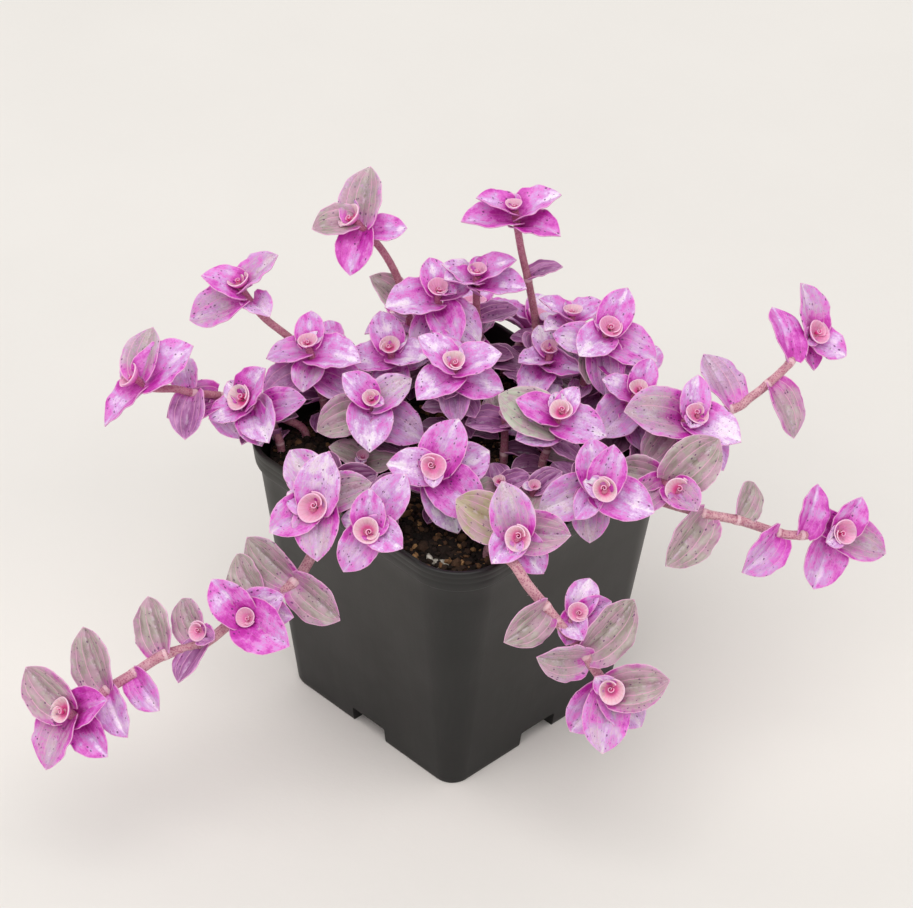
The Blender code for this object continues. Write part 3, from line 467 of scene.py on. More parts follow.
# Colours are red, green and blue from 0 to 255. A stop of a ramp starts with its place from 0 to 1
FRESH_BLADE = ((0.0, 192, 40, 168), (0.22, 212, 78, 194), (0.42, 226, 126, 212), (0.62, 214, 160, 222),
               (0.8, 234, 200, 242), (1.0, 254, 236, 254))
SAGE_BLADE = ((0.3, 138, 128, 119), (0.5, 164, 152, 145), (0.7, 192, 184, 178))
PURPLE_BLADE = ((0.3, 128, 62, 120), (0.5, 164, 98, 158), (0.7, 204, 148, 198))
BLADE_UNDERSIDE = ((0.3, 172, 84, 160), (0.7, 208, 132, 194))
YELLOW_BLADE = (198, 182, 128)
PALE_GREEN_BLADE = (196, 206, 186)
ROSE_PATCHES = (194, 146, 174)
# Painted shade on the blades low in the pot
DEEP_BLADE_PAINTED_SHADE = (100, 38, 84)
# Pale midrib, partly a painted highlight
PALE_MIDDLE_AND_HIGHLIGHT = (228, 214, 228)
VEIN_PINK = (232, 170, 204)
MARGIN_PINK = (242, 180, 216)
SPECK_PURPLE = (88, 22, 92)
FLECK_PURPLE = (136, 56, 134)
CUP_INSIDE = ((0.0, 206, 30, 126), (0.12, 232, 92, 160), (0.3, 244, 162, 198), (0.55, 251, 205, 216),
              (1.0, 254, 227, 227))
CUP_OUTSIDE = ((0.0, 210, 66, 170), (0.6, 228, 124, 198), (1.0, 246, 190, 222))
BUD_PINK = ((0.0, 208, 26, 120), (0.7, 236, 84, 160), (1.0, 250, 160, 206))
CUP_BLUSH = (246, 150, 204)
CUP_VEIN = (224, 142, 156)
CUP_MOTTLE = (246, 176, 212)
CUP_RIM = (253, 196, 224)
PALE_STEM = ((0.3, 190, 136, 146), (0.7, 226, 182, 188))
DARK_STEM = ((0.3, 156, 98, 112), (0.7, 202, 144, 154))
YOUNG_STEM = (208, 112, 164)
STEM_SPECK = (166, 66, 112)
COLLAR_PINK = (246, 214, 220)
HAIR_PINK = (240, 208, 214)
PEAT = ((0.3, 14, 10, 8), (0.7, 40, 29, 23))
GRANULE_BROWNS = ((0.0, 22, 16, 13), (0.5, 40, 29, 23), (0.8, 70, 50, 37), (0.94, 116, 83, 56),
                  (1.0, 176, 134, 90))
GRANULE_DIRT = (26, 18, 15)
FLAKE_GREY = ((0.35, 110, 104, 92), (0.65, 205, 200, 188))
# Pot colours: painted shade towards the foot, a painted reflection towards the rim
POT_FOOT_PAINTED_SHADE = ((0.3, 11, 10, 9), (0.7, 17, 16, 14))
POT_RIM_PAINTED_REFLECTION = ((0.3, 29, 28, 24), (0.7, 38, 37, 32))
# Painted shade on the pot's corner nearest the front
POT_FRONT_CORNER_PAINTED_SHADE = (9, 9, 8)
POT_DUST = (44, 43, 39)
BOARD = ((0.3, 228, 225, 221), (0.7, 232, 229, 225))
# Painted light on the floor round the pot
BOARD_PAINTED_LIGHT_BY_POT = (245, 241, 236)

BLADE, CUP, STEM = range(3)  # places of a shoot's materials


# Blades and shoots

@dataclass(frozen=True)
class Leaf:
    """One blade: where it grows from, its stem's direction there, and its own shape."""

    root: Vector
    axis: Vector
    radial: Vector
    pitch: float
    length: float
    width: float
    lift: float
    curl: float
    turned: float = TO_LIGHT
    rank: int = 0  # place from the cup outwards, -1 for a blade that stands singly, or PETAL
    mark: int = -1  # place among the blades wanted of its shoot, the older ones from OLDER_MARK

    def frame(self):
        """Directions across the blade, along it and out of its upper face."""
        pitch = math.radians(self.pitch)
        along = math.cos(pitch) * self.axis + math.sin(pitch) * self.radial
        face = math.sin(pitch) * self.axis - math.cos(pitch) * self.radial
        face = face * (1 - self.turned) + LIGHT * self.turned
        face = (face - face.dot(along) * along).normalized()
        return along.cross(face), along, face

    def is_young(self):
        """Whether it is the short first blade of a rosette, round and close to its cup."""
        return self.rank == 0 and self.length < YOUNG_LENGTH


@dataclass
class Shoot:
    """One leafy stem: its line, side branches, cups, the blades wanted and those that found room."""

    name: str
    line: list
    branches: list
    cups: list
    wanted: list
    leaves: list


# Meshes and objects

def verts_in(geometry):
    """The vertices that an extrusion made."""
    return [item for item in geometry if isinstance(item, bmesh.types.BMVert)]


def rim_in(geometry):
    """The open edges that an extrusion made."""
    return [item for item in geometry if isinstance(item, bmesh.types.BMEdge) and item.is_boundary]


def mesh_of(bm, name):
    """A mesh with the shape of a bmesh, which is freed."""
    mesh = bpy.data.meshes.new(name)
    bm.to_mesh(mesh)
    bm.free()
    return mesh


def shown(name, data):
    """A new object in the scene."""
    item = bpy.data.objects.new(name, data)
    bpy.context.scene.collection.objects.link(item)
    return item


def mesh_piece(name, bm, *materials):
    """An object in metres from a bmesh in millimetres."""
    bmesh.ops.scale(bm, vec=(MM, MM, MM), verts=bm.verts)
    mesh = mesh_of(bm, name)
    for material in materials:
        mesh.materials.append(material)
    return shown(name, mesh)


def solved_mesh(item):
    """The mesh of an object with its bevel or its modifiers carried out."""
    graph = bpy.context.evaluated_depsgraph_get()
    return bpy.data.meshes.new_from_object(item.evaluated_get(graph))


def turn_up_to(direction):
    """The rotation that takes upright to a direction."""
    return UP.rotation_difference(direction).to_matrix()


# Layout of the shoots, as in the solids

def heading_vector(heading, tilt):
    """Unit vector at a heading round Z, tilted from upright."""
    heading, tilt = math.radians(heading), math.radians(tilt)
    return Vector((math.cos(heading) * math.sin(tilt), math.sin(heading) * math.sin(tilt), math.cos(tilt)))


def clock_vector(axis, clock):
    """Direction square to an axis at a clock angle, 0 being to the back and 90 to the right."""
    up = (BACK - BACK.dot(axis) * axis).normalized()
    side = up.cross(axis)
    clock = math.radians(clock)
    return math.cos(clock) * up + math.sin(clock) * side


def point_and_direction(line, back):
    """Place on a stem's centre line a distance back from its tip, with the stem's direction there."""
    for upper, lower in zip(reversed(line), reversed(line[:-1])):
        span = (upper - lower).length
        if back <= span:
            return upper.lerp(lower, back / span), (upper - lower).normalized()
        back -= span
    return line[0].copy(), UP.copy()


def rosette_leaves(line, axis, ring, step, draw):
    """The blades of a rosette, from its cup outwards, rooted down the stem below it."""
    leaves = []
    reach = sum((upper - lower).length for upper, lower in zip(line, line[1:]))
    for index, (clock, length) in enumerate(ring):
        pitch = YOUNG_PITCH if length < YOUNG_LENGTH else min(FIRST_PITCH + PITCH_STEP * index, FLAT_PITCH)
        radial = clock_vector(axis, clock)
        back = min(CUP_HEIGHT / 2 - CUP_SEAT + step * index, ROSETTE_REACH * reach)
        root = point_and_direction(line, back)[0] + radial * ROOT_OFFSET
        width = length * LEAF_WIDTH * draw.uniform(*WIDTH_SPREAD)
        curl = draw.uniform(*CURL)
        leaves.append(Leaf(root, axis, radial, pitch, length, width, LEAF_LIFT, curl, rank=index))
    return leaves


def stem_leaf(line, back, clock, length, draw):
    """One of the older blades that stand singly down a stem."""
    place, direction = point_and_direction(line, back)
    radial = clock_vector(direction, clock)
    pitch = draw.uniform(*OLD_PITCH)
    root = place + radial * ROOT_OFFSET
    width = length * LEAF_WIDTH
    return Leaf(root, direction, radial, pitch, length, width, OLD_LEAF_LIFT, draw.uniform(*CURL), rank=-1)


def bowed_line(foot, start, end, axis, spacing):
    """A smooth line from a foot, leaving it one way and reaching its end another."""
    reach = (end - foot).length
    steps = max(2, round(reach / spacing))
    line = []
    for step in range(steps + 1):
        t = step / steps
        leaving = start * reach * BOW * t * (1 - t) ** 2
        arriving = axis * reach * t**2 * (1 - t)
        line.append(foot.lerp(end, t * t * (3 - 2 * t)) + leaving - arriving)
    return line


def standing_shoot(name, root, centre, facing, ring, draw):
    """A shoot that stands in the pot: a bowed stem, a rosette and older blades below it."""
    axis = heading_vector(*facing)
    centre = Vector(centre)
    foot = Vector((*root, SOIL_TOP + STEM_RISE))
    line = [Vector((*root, SOIL_TOP - STEM_DEPTH))]
    line += bowed_line(foot, UP, centre - axis * CUP_SEAT, axis, BEND_STEP)
    rosette = rosette_leaves(line, axis, ring, BLADE_STEP, draw)
    if name in SPARSE_STEMS:
        lower = [stem_leaf(line, *leaf, draw) for leaf in SPARSE_STEMS[name]]
    else:
        lower = []
        back = CUP_HEIGHT + BLADE_STEP * (len(ring) + 1)
        clock = ring[-1][0] + DIVERGENCE
        while point_and_direction(line, back)[0].z > SOIL_TOP + BARE_ABOVE_SOIL:
            lower.append(stem_leaf(line, back, clock, draw.uniform(*OLD_LENGTH), draw))
            back += OLD_BLADE_STEP * draw.uniform(*OLD_STEP_SPREAD)
            clock += DIVERGENCE * draw.uniform(*OLD_TURN_SPREAD)
    return Shoot(name, line, [], [(centre, axis, 1.0)], [rosette, lower], [])


def trailing_shoot(name, route, facing, rosette, leaves, buds, draw):
    """A long shoot: its route, single blades at its nodes, side rosettes and the rosette at its tip."""
    root, *points = [Vector(point) for point in route]
    axis = heading_vector(*facing)
    centre = points[-1]
    points[-1:] = [centre - axis * (CUP_SEAT + BRANCH_STEP), centre - axis * CUP_SEAT]
    foot = Vector((root.x, root.y, SOIL_TOP - STEM_DEPTH))
    line = [foot, Vector((root.x, root.y, SOIL_TOP + STEM_RISE)), *points]
    wanted = rosette_leaves(line, axis, rosette, BLADE_STEP, draw)
    for node, heading, rise, length in leaves:
        direction = (line[node + 2] - line[node]).normalized()
        along = heading_vector(heading, 90 - rise)
        radial = (along - along.dot(direction) * direction).normalized()
        root = line[node + 1] + radial * ROOT_OFFSET + direction * draw.uniform(*NODE_SPREAD)
        pitch = math.degrees(along.angle(direction))
        width = length * LEAF_WIDTH * WIDTH_SPREAD[0]
        curl = draw.uniform(*CURL)
        wanted.append(Leaf(root, direction, radial, pitch, length, width, OLD_LEAF_LIFT, curl,
                           turned=MORE_TO_LIGHT, rank=-1))
    cups = [(centre, axis, 1.0)]
    branches = []
    for node, bud, bud_facing, ring in buds:
        bud_axis = heading_vector(*bud_facing)
        bud = Vector(bud)
        joint = line[node + 1]
        end = bud - bud_axis * SIDE_CUP_SIZE * CUP_SEAT
        cups.append((bud, bud_axis, SIDE_CUP_SIZE))
        branches.append(bowed_line(joint, (bud - joint).normalized(), end, bud_axis, BRANCH_STEP))
        wanted += rosette_leaves(branches[-1], bud_axis, ring, BLADE_STEP * SIDE_STEP_SHARE, draw)
    return Shoot(name, line, branches, cups, [wanted, []], [])


# Search for free room

def leaf_point(leaf, across, along, grow=0.0):
    """Place on the solid blade's middle surface: across runs from -1 to 1 and along from base to tip."""
    side, forward, face = leaf.frame()
    length = leaf.length + 2 * grow
    reach = SOLID_BASE + (1 - SOLID_BASE) * along
    outline = max(math.sin(math.pi * reach**SOLID_SKEW), 0.0) ** SOLID_FULL * (1 - SOLID_TAPER * along**6)
    half = leaf.width / 2 * outline + grow
    turn = leaf.curl * (0.5 - along)
    run = length * (math.sin(leaf.curl / 2) - math.sin(turn)) / leaf.curl
    drop = length * (math.cos(turn) - math.cos(leaf.curl / 2)) / leaf.curl
    cupping = half * leaf.lift * (1 + BASE_LIFT * (1 - along) ** 3) * abs(across) ** 1.5
    return leaf.root + side * (half * across) + forward * (run - grow) + face * (drop + cupping)


def leaf_bmesh(leaf, grow=0.0, first=0.0):
    """The solid blade, which the search for free room works with."""
    rows = (first, *(FULL_ROWS if leaf.length > FULL_LENGTH else SHORT_ROWS))
    bm = bmesh.new()
    spans = len(rows) - 1
    grid = bmesh.ops.create_grid(bm, x_segments=1, y_segments=spans, size=1.0)
    thick = leaf.frame()[2] * (LEAF_THICKNESS + 2 * grow)
    for vert in grid["verts"]:
        along = rows[round((vert.co.y + 1) / 2 * spans)]
        across = vert.co.x if along < 1 else 0.0
        vert.co = leaf_point(leaf, across, along, grow) + thick / 2
    bmesh.ops.remove_doubles(bm, verts=bm.verts, dist=MERGE)
    bmesh.ops.triangulate(bm, faces=bm.faces)
    under = bmesh.ops.extrude_face_region(bm, geom=bm.faces[:])["geom"]
    bmesh.ops.translate(bm, vec=-thick, verts=verts_in(under))
    bmesh.ops.recalc_face_normals(bm, faces=bm.faces)
    return bm


def cup_bmesh(centre, axis, size):
    """The solid cup, which the search for free room works with."""
    bm = bmesh.new()
    bmesh.ops.create_cone(bm, cap_ends=True, segments=CUP_SIDES, radius1=CUP_FOOT_RADIUS * size,
                          radius2=CUP_RADIUS * size, depth=CUP_HEIGHT * size)
    mouth = max(bm.faces, key=lambda face: face.calc_center_median().z)
    bmesh.ops.inset_region(bm, faces=[mouth], thickness=CUP_LIP * size)
    dimple = bmesh.ops.poke(bm, faces=[mouth])["verts"]
    bmesh.ops.translate(bm, vec=(0, 0, -CUP_DIMPLE * CUP_HEIGHT * size), verts=dimple)
    turn = turn_up_to(axis).to_4x4()
    bmesh.ops.transform(bm, matrix=Matrix.Translation(centre) @ turn, verts=bm.verts)
    return bm


def tree_of(bm):
    """A search tree of a mesh, with its centre and reach."""
    tree = BVHTree.FromBMesh(bm)
    points = [vert.co.copy() for vert in bm.verts]
    bm.free()
    middle = sum(points, Vector()) / len(points)
    return tree, middle, max((point - middle).length for point in points)


class Neighbours:
    """What stands in the pot so far, to test a new blade against."""

    def __init__(self):
        self.pieces = []

    def add(self, owner, bm, is_blade=False):
        """Keep a piece of a shoot, of the pot or of the soil."""
        self.pieces.append((owner, is_blade, *tree_of(bm)))

    def crossed(self, owner, leaf, own):
        """Whether a blade crosses another shoot's pieces, or with own set the shoot's own blades."""
        first = BLADE_CLEAR_FROM if own else 0.0
        tree, middle, reach = tree_of(leaf_bmesh(leaf, 0.0 if own else GAP, first))
        for other, is_blade, other_tree, other_middle, other_reach in self.pieces:
            if own != (other == owner) or (own and not is_blade):
                continue
            if (middle - other_middle).length < reach + other_reach and tree.overlap(other_tree):
                return True
        return False


def tries():
    """Changes of pitch, turn and size, the smallest first."""
    options = []
    for pitch in PITCH_TRIES:
        for turn in TURN_TRIES:
            for size in SIZE_TRIES:
                cost = abs(pitch) * PITCH_COST + abs(turn) * TURN_COST + (1 - size) * SIZE_COST
                options.append((cost, pitch, turn, size))
    return sorted(options)


def settle(shoot, leaf, neighbours, options, fused=True):
    """Place a blade where it crosses nothing, or failing that only its own shoot, where it is fused."""
    spare = None
    for _, pitch, turn, size in options:
        radial = leaf.radial.copy()
        radial.rotate(Matrix.Rotation(math.radians(turn), 3, leaf.axis))
        tried = replace(leaf, radial=radial, pitch=leaf.pitch + pitch, length=leaf.length * size,
                        width=leaf.width * size)
        if neighbours.crossed(shoot.name, tried, own=False):
            continue
        if fused:
            spare = spare or tried
        if not neighbours.crossed(shoot.name, tried, own=True):
            spare = tried
            break
    if spare:
        shoot.leaves.append(spare)
        neighbours.add(shoot.name, leaf_bmesh(spare), is_blade=True)


def plan_shoots():
    """Every shoot with its stem, cups and wanted blades, none of them placed yet."""
    draw = random.Random(SEED)
    shoots = [trailing_shoot(**row, draw=draw) for row in TRAILS]
    return shoots + [standing_shoot(*row, draw) for row in SHOOTS]


def tube_bmesh(line, radii, resolution):
    """A closed tube along a centre line, with a radius at each point."""
    curve = bpy.data.curves.new("stem", "CURVE")
    curve.dimensions = "3D"
    curve.bevel_depth = 1.0
    curve.bevel_resolution = resolution
    curve.use_fill_caps = True
    spline = curve.splines.new("POLY")
    spline.points.add(len(line) - 1)
    for point, place, radius in zip(spline.points, line, radii):
        point.co = (*place, 1.0)
        point.radius = radius
    tube = shown("stem", curve)
    mesh = solved_mesh(tube)
    bpy.data.objects.remove(tube)
    bm = bmesh.new()
    bm.from_mesh(mesh)
    bmesh.ops.remove_doubles(bm, verts=bm.verts, dist=MERGE)
    bmesh.ops.recalc_face_normals(bm, faces=bm.faces)
    bpy.data.meshes.remove(mesh)
    return bm


def filling_leaves(shoot):
    """Small blades between the others, low in the pot."""
    draw = random.Random(f"{shoot.name} filling")
    leaves = []
    if shoot.name.startswith("trail"):
        return leaves
    back = CUP_HEIGHT + FILL_START
    clock = draw.uniform(0, 360)
    while point_and_direction(shoot.line, back)[0].z > SOIL_TOP + FILL_ABOVE_SOIL:
        if shoot.name not in SPARSE_STEMS or point_and_direction(shoot.line, back)[0].z < FILL_BELOW:
            leaves.append(stem_leaf(shoot.line, back, clock, draw.uniform(*FILL_LENGTH), draw))
        back += FILL_STEP
        clock += DIVERGENCE * draw.uniform(*FILL_TURN_SPREAD)
    return leaves


def petal(centre, axis, size, blades, draw):
    """A round young blade against a cup, in the widest gap between the rosette's blades."""
    foot = centre - axis * (CUP_HEIGHT / 2 - PETAL_SEAT) * size
    taken = [blade.radial for blade in blades
             if 0 <= blade.rank < PETAL_RANKS and (blade.root - foot).length < PETAL_NEAR]
    clocks = [360 * index / PETAL_CLOCKS for index in range(PETAL_CLOCKS)]
    radials = [clock_vector(axis, clock + draw.uniform(*PETAL_TURN)) for clock in clocks]
    radial = max(radials, key=lambda way: min((way.angle(other) for other in taken), default=1.0))
    length = draw.uniform(*PETAL_LENGTH) * size
    return Leaf(foot + radial * ROOT_OFFSET, axis, radial, draw.uniform(*PETAL_PITCH), length,
                length * PETAL_WIDTH, PETAL_LIFT, draw.uniform(*CURL), turned=0.0, rank=PETAL)


def place_leaves(shoots):
    """Place all the blades, the rosettes first and the older blades in what room is left."""
    neighbours = Neighbours()
    for name in ("pot", "soil"):
        bm = bmesh.new()
        bm.from_mesh(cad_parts[name].data)
        bmesh.ops.scale(bm, vec=(1 / MM,) * 3, verts=bm.verts)
        neighbours.add(name, bm)
    for shoot in shoots:
        for line in (shoot.line[1:], *shoot.branches):
            neighbours.add(shoot.name, tube_bmesh(line, [STEM_RADIUS] * len(line), 1))
        for cup in shoot.cups:
            neighbours.add(shoot.name, cup_bmesh(*cup))
    options = tries()
    for wave in range(2):
        for shoot in shoots:
            for mark, leaf in enumerate(shoot.wanted[wave]):
                settle(shoot, replace(leaf, mark=mark + OLDER_MARK * wave), neighbours, options)
    for shoot in shoots:
        for leaf in filling_leaves(shoot):
            settle(shoot, leaf, neighbours, options, fused=False)


# Fine meshes

class Growth:
    """The parts of one fine shoot, with what its materials read at each vertex."""

    def __init__(self):
        self.parts = []

    def part(self):
        """A new empty mesh with the shoot's three records at each vertex."""
        bm = bmesh.new()
        layers = bm.verts.layers.float_vector
        # blade: share across and along, distance from the margin. flat: millimetres across and along, and
        # a number of its own. look: of a blade its age, underside and what it turns to, of a cup its inside
        # (second) and its bud (third), and of a stem its collar, share of the length and tone.
        return bm, [layers.new(name) for name in ("blade", "flat", "look")]

    def keep(self, bm, material):
        """Add a finished part to the shoot."""
        for face in bm.faces:
            face.material_index = material
            face.smooth = True
        self.parts.append(mesh_of(bm, "part"))

    def sheet(self, template, points, blade, flat, look, thickness, material):
        """A thin closed sheet: its upper side at points, its underside a thickness below."""
        bm, (blade_layer, flat_layer, look_layer) = self.part()
        bm.from_mesh(template)
        for index, vert in enumerate(bm.verts):
            vert.co = points[index]
            vert[blade_layer] = blade[index]
            vert[flat_layer] = flat[index]
            vert[look_layer] = look
        bmesh.ops.remove_doubles(bm, verts=bm.verts, dist=MERGE)
        bm.normal_update()
        out = bm.verts.layers.float_vector.new("out")
        for vert in bm.verts:
            vert[out] = vert.normal
        geometry = bmesh.ops.extrude_face_region(bm, geom=bm.faces[:])["geom"]
        for vert in verts_in(geometry):
            across, along, _ = vert[blade_layer]
            vert.co = vert.co - vert[out] * thickness(across, along)
            vert[look_layer] = (look[0], 1.0, look[2])
        bm.verts.layers.float_vector.remove(out)
        bmesh.ops.recalc_face_normals(bm, faces=bm.faces)
        self.keep(bm, material)

    def tube(self, line, radii, looks, material):
        """A round stem, with the look of the nearest point of its line at each place."""
        mesh = mesh_of(tube_bmesh(line, radii, STEM_SIDES), "tube")
        bm, (_, _, look_layer) = self.part()
        bm.from_mesh(mesh)
        bpy.data.meshes.remove(mesh)
        places = np.array([tuple(point) for point in line])
        for vert in bm.verts:
            nearest = int(np.argmin(((places - np.array(vert.co)) ** 2).sum(axis=1)))
            vert[look_layer] = looks[nearest]
        self.keep(bm, material)

    def hairs(self, hairs, look, material):
        """Fine stiff hairs, each with its foot, direction and length."""
        bm, (_, _, look_layer) = self.part()
        for foot, direction, length in hairs:
            turn = turn_up_to(direction).to_4x4()
            middle = foot + direction * (length / 2 - HAIR_RADIUS)
            bmesh.ops.create_cone(bm, cap_ends=True, segments=3, radius1=HAIR_RADIUS, radius2=0.0,
                                  depth=length, matrix=Matrix.Translation(middle) @ turn)
        for vert in bm.verts:
            vert[look_layer] = look
        self.keep(bm, material)

    def piece(self, name, materials):
        """The finished object, in metres."""
        bm, _ = self.part()
        for part in self.parts:
            bm.from_mesh(part)
            bpy.data.meshes.remove(part)
        piece = mesh_piece(name, bm, *materials)
        piece.data.set_sharp_from_angle(angle=PLANT_SHARP)
        return piece


def grid_template(name, columns, rows):
    """A flat grid whose points are placed later, with its coordinates from -1 to 1 and 0 to 1."""
    bm = bmesh.new()
    bmesh.ops.create_grid(bm, x_segments=columns, y_segments=rows, size=1.0)
    mesh = mesh_of(bm, name)
    places = np.array([tuple(vert.co) for vert in mesh.vertices])
    return mesh, places[:, 0], (places[:, 1] + 1) / 2


def blade_outline(leaf, along):
    """Half width of a blade at shares of its length, as a share of the widest."""
    reach = BLADE_BASE + (1 - BLADE_BASE) * along
    if leaf.rank == PETAL or leaf.is_young():
        return np.maximum(np.sin(np.pi * reach), 0.0) ** ROUND_OUTLINE
    return np.maximum(np.sin(np.pi * reach**OUTLINE_SKEW), 0.0) ** (OUTLINE_FULL + OUTLINE_POINT * along**6)


def blade_thickness(across, along):
    """Thickness of a blade, which thins out to its margin and its tip."""
    thin = 1 - (1 - BLADE_RIM / BLADE_MIDDLE) * max(across * across, along**4)
    return BLADE_MIDDLE * thin


def fine_blade(growth, leaf, age, dusk, draw, grid):
    """A cupped, quilted blade with a pointed tip and a heart-shaped base round its stem."""
    template, across, along = grid
    size = np.abs(across)
    halves = np.sign(across)
    # Outline
    outline = blade_outline(leaf, along)
    half = leaf.width * FULLNESS / 2 * outline * (1 + draw.uniform(*UNEVEN) * halves)
    ragged = np.sin(2 * np.pi * draw.uniform(*RAGS) * along + draw.uniform(*RAG_SHIFT) * halves)
    half = half * (1 + RAGGED * ragged * np.sin(np.pi * np.clip(along, 0, 1)))
    sideways = half * across
    # Curl from the base to the tip
    turn = leaf.curl * (0.5 - along)
    run = leaf.length * (math.sin(leaf.curl / 2) - np.sin(turn)) / leaf.curl
    rise = leaf.length * (np.cos(turn) - math.cos(leaf.curl / 2)) / leaf.curl
    rise = rise + leaf.length * draw.uniform(*TIP_RISE) * along**4
    # Cupped edges, quilts between the veins, and the crease along the midrib
    out = half * leaf.lift * CUPPED * (1 + BASE_LIFT * (1 - along) ** 3) * size**1.5
    out = out - half * RIM_FLATTEN * size**6
    body = outline * np.sqrt(np.maximum(np.sin(np.pi * np.clip(along, 0, 1)), 0.0))
    quilting = (QUILTING[0] + (QUILTING[1] - QUILTING[0]) * age) * leaf.length / QUILTED_LENGTH
    out = out + quilting * body * (0.5 - 0.5 * np.cos(2 * np.pi * VEINS * size))
    out = out - CREASE * body * np.exp(-((across / CREASE_WIDTH) ** 2))
    # Waved margin and fine crinkles
    phase = draw.uniform(0, 2 * math.pi)
    waves = draw.uniform(*WAVES)
    shift = draw.uniform(*WAVE_SHIFT)
    out = out + half * MARGIN_WAVE * size**3 * np.sin(2 * np.pi * waves * along + phase + shift * halves)
    ripples = np.sin(2 * np.pi * (3.4 * along + 0.5 * size) + 2 * phase)
    ripples = ripples * np.sin(2 * np.pi * (1.3 * across + 0.8 * along) + phase)
    out = out + CRINKLE * leaf.length * body * ripples
    # Lobes, sway and twist
    lobes = HEART * half * size**2 * np.maximum(1 - along / LOBE_REACH, 0.0) ** 2
    sway = leaf.length * draw.uniform(*SWAY) * along**2
    twist = draw.uniform(*TWIST) * (along - UNTWISTED)
    x = sideways * np.cos(twist) - out * np.sin(twist) + sway
    z = sideways * np.sin(twist) + out * np.cos(twist) + rise + BLADE_MIDDLE / 2
    side, forward, face = (np.array(direction) for direction in leaf.frame())
    points = np.array(leaf.root) + np.outer(x, side) + np.outer(run - lobes, forward) + np.outer(z, face)
    margin = np.minimum(half * (1 - size), leaf.length * (1 - along) * 0.5)
    offset = draw.uniform(0, 100)
    number = draw.uniform(0, 1)
    blade = np.column_stack([across, along, margin])
    flat = np.column_stack([sideways + offset, leaf.length * along, np.full_like(across, number)])
    growth.sheet(template, points, blade, flat, (age, 0.0, dusk), blade_thickness, BLADE)


def rolled_sheet(growth, grid, points, margin, flat, thickness, bud):
    """A sheet of a cup, of even thickness. bud is 1 for the bud and 0 for the bowl."""
    template, across, along = grid
    blade = np.column_stack([across, along, margin])
    growth.sheet(template, points, blade, flat, (0.0, 0.0, bud), lambda *_: thickness, CUP)


def fine_cup(growth, centre, axis, size, draw, grid):
    """A young leaf rolled into an open funnel, its one edge inside the other, with a bud in it."""
    _, across, along = grid
    turn = np.array(turn_up_to(axis) @ Matrix.Rotation(draw.uniform(0, 2 * math.pi), 3, "Z"))
    foot = np.array(centre) - np.array(axis) * CUP_HEIGHT * size / 2
    way_round = (across + 1) / 2
    # The bowl
    angle = 2 * np.pi * CUP_TURNS * way_round
    rolled_in = np.clip(1 - way_round / ROLL_EDGE, 0, 1)
    inward = 1 - ROLL_IN * rolled_in**1.5
    spiral = 1 + ROLL_SPREAD * (way_round - 0.5)
    widening = BOWL_FOOT + (1 - BOWL_FOOT) * along**BOWL_SPREAD
    radius = CUP_OPEN * size * widening * spiral * inward
    lobes = draw.randint(*RIM_LOBES)
    wave = 1 + RIM_WAVE * np.sin(lobes * angle + draw.uniform(*ROLL_START)) * along**2
    point = np.exp(-(((way_round - draw.uniform(*POINT_PLACE)) / POINT_WIDTH) ** 2))
    height = CUP_TALL * size * (along**1.6 - 0.12 * along**6) + POINT_RISE * size * point * along**4
    height = height - ROLL_DIP * size * rolled_in * along + CUP_FOOT_RISE * size
    radius = radius * (1 + POINT_LEAN * point * along**3)
    x = radius * wave * np.cos(angle) + BOWL_SHIFT * size * (1 - along)
    points = foot + np.column_stack([x, radius * wave * np.sin(angle), height]) @ turn.T
    margin = CUP_TALL * size * (1 - along)
    margin = np.minimum(margin, 2 * np.pi * radius * CUP_TURNS * (1 - np.abs(across)) / 2)
    number = draw.uniform(0, 1)
    flat = np.column_stack([radius * angle, CUP_TALL * along, np.full_like(across, number)])
    rolled_sheet(growth, grid, points, margin, flat, CUP_THICKNESS * size, 0.0)
    # The bud in the middle
    angle = 2 * np.pi * BUD_TURNS * way_round + draw.uniform(*ROLL_START)
    radius = BUD_OPEN * size * (0.22 + 0.78 * way_round) * (0.55 + 0.45 * along)
    lean = draw.uniform(*BUD_LEAN) * size
    height = (CUP_FOOT_RISE + BUD_SEAT) * size + BUD_HEIGHT * size * along * (0.8 + 0.2 * way_round)
    x = radius * np.cos(angle) + lean * 0.7
    points = foot + np.column_stack([x, radius * np.sin(angle) + lean, height]) @ turn.T
    margin = BUD_HEIGHT * size * (1 - along)
    rolled_sheet(growth, grid, points, margin, flat, BUD_THICKNESS * size, 1.0)


def smooth_line(line, spacing):
    """A line through the same points without corners."""
    places = [2 * line[0] - line[1], *line, 2 * line[-1] - line[-2]]
    fine = []
    for before, start, end, after in zip(places, places[1:], places[2:], places[3:]):
        steps = max(2, round((end - start).length / spacing))
        for step in range(steps):
            t = step / steps
            fine.append(0.5 * (2 * start + (end - before) * t
                               + (2 * before - 5 * start + 4 * end - after) * t**2
                               + (3 * start - before - 3 * end + after) * t**3))
    fine.append(line[-1].copy())
    return fine


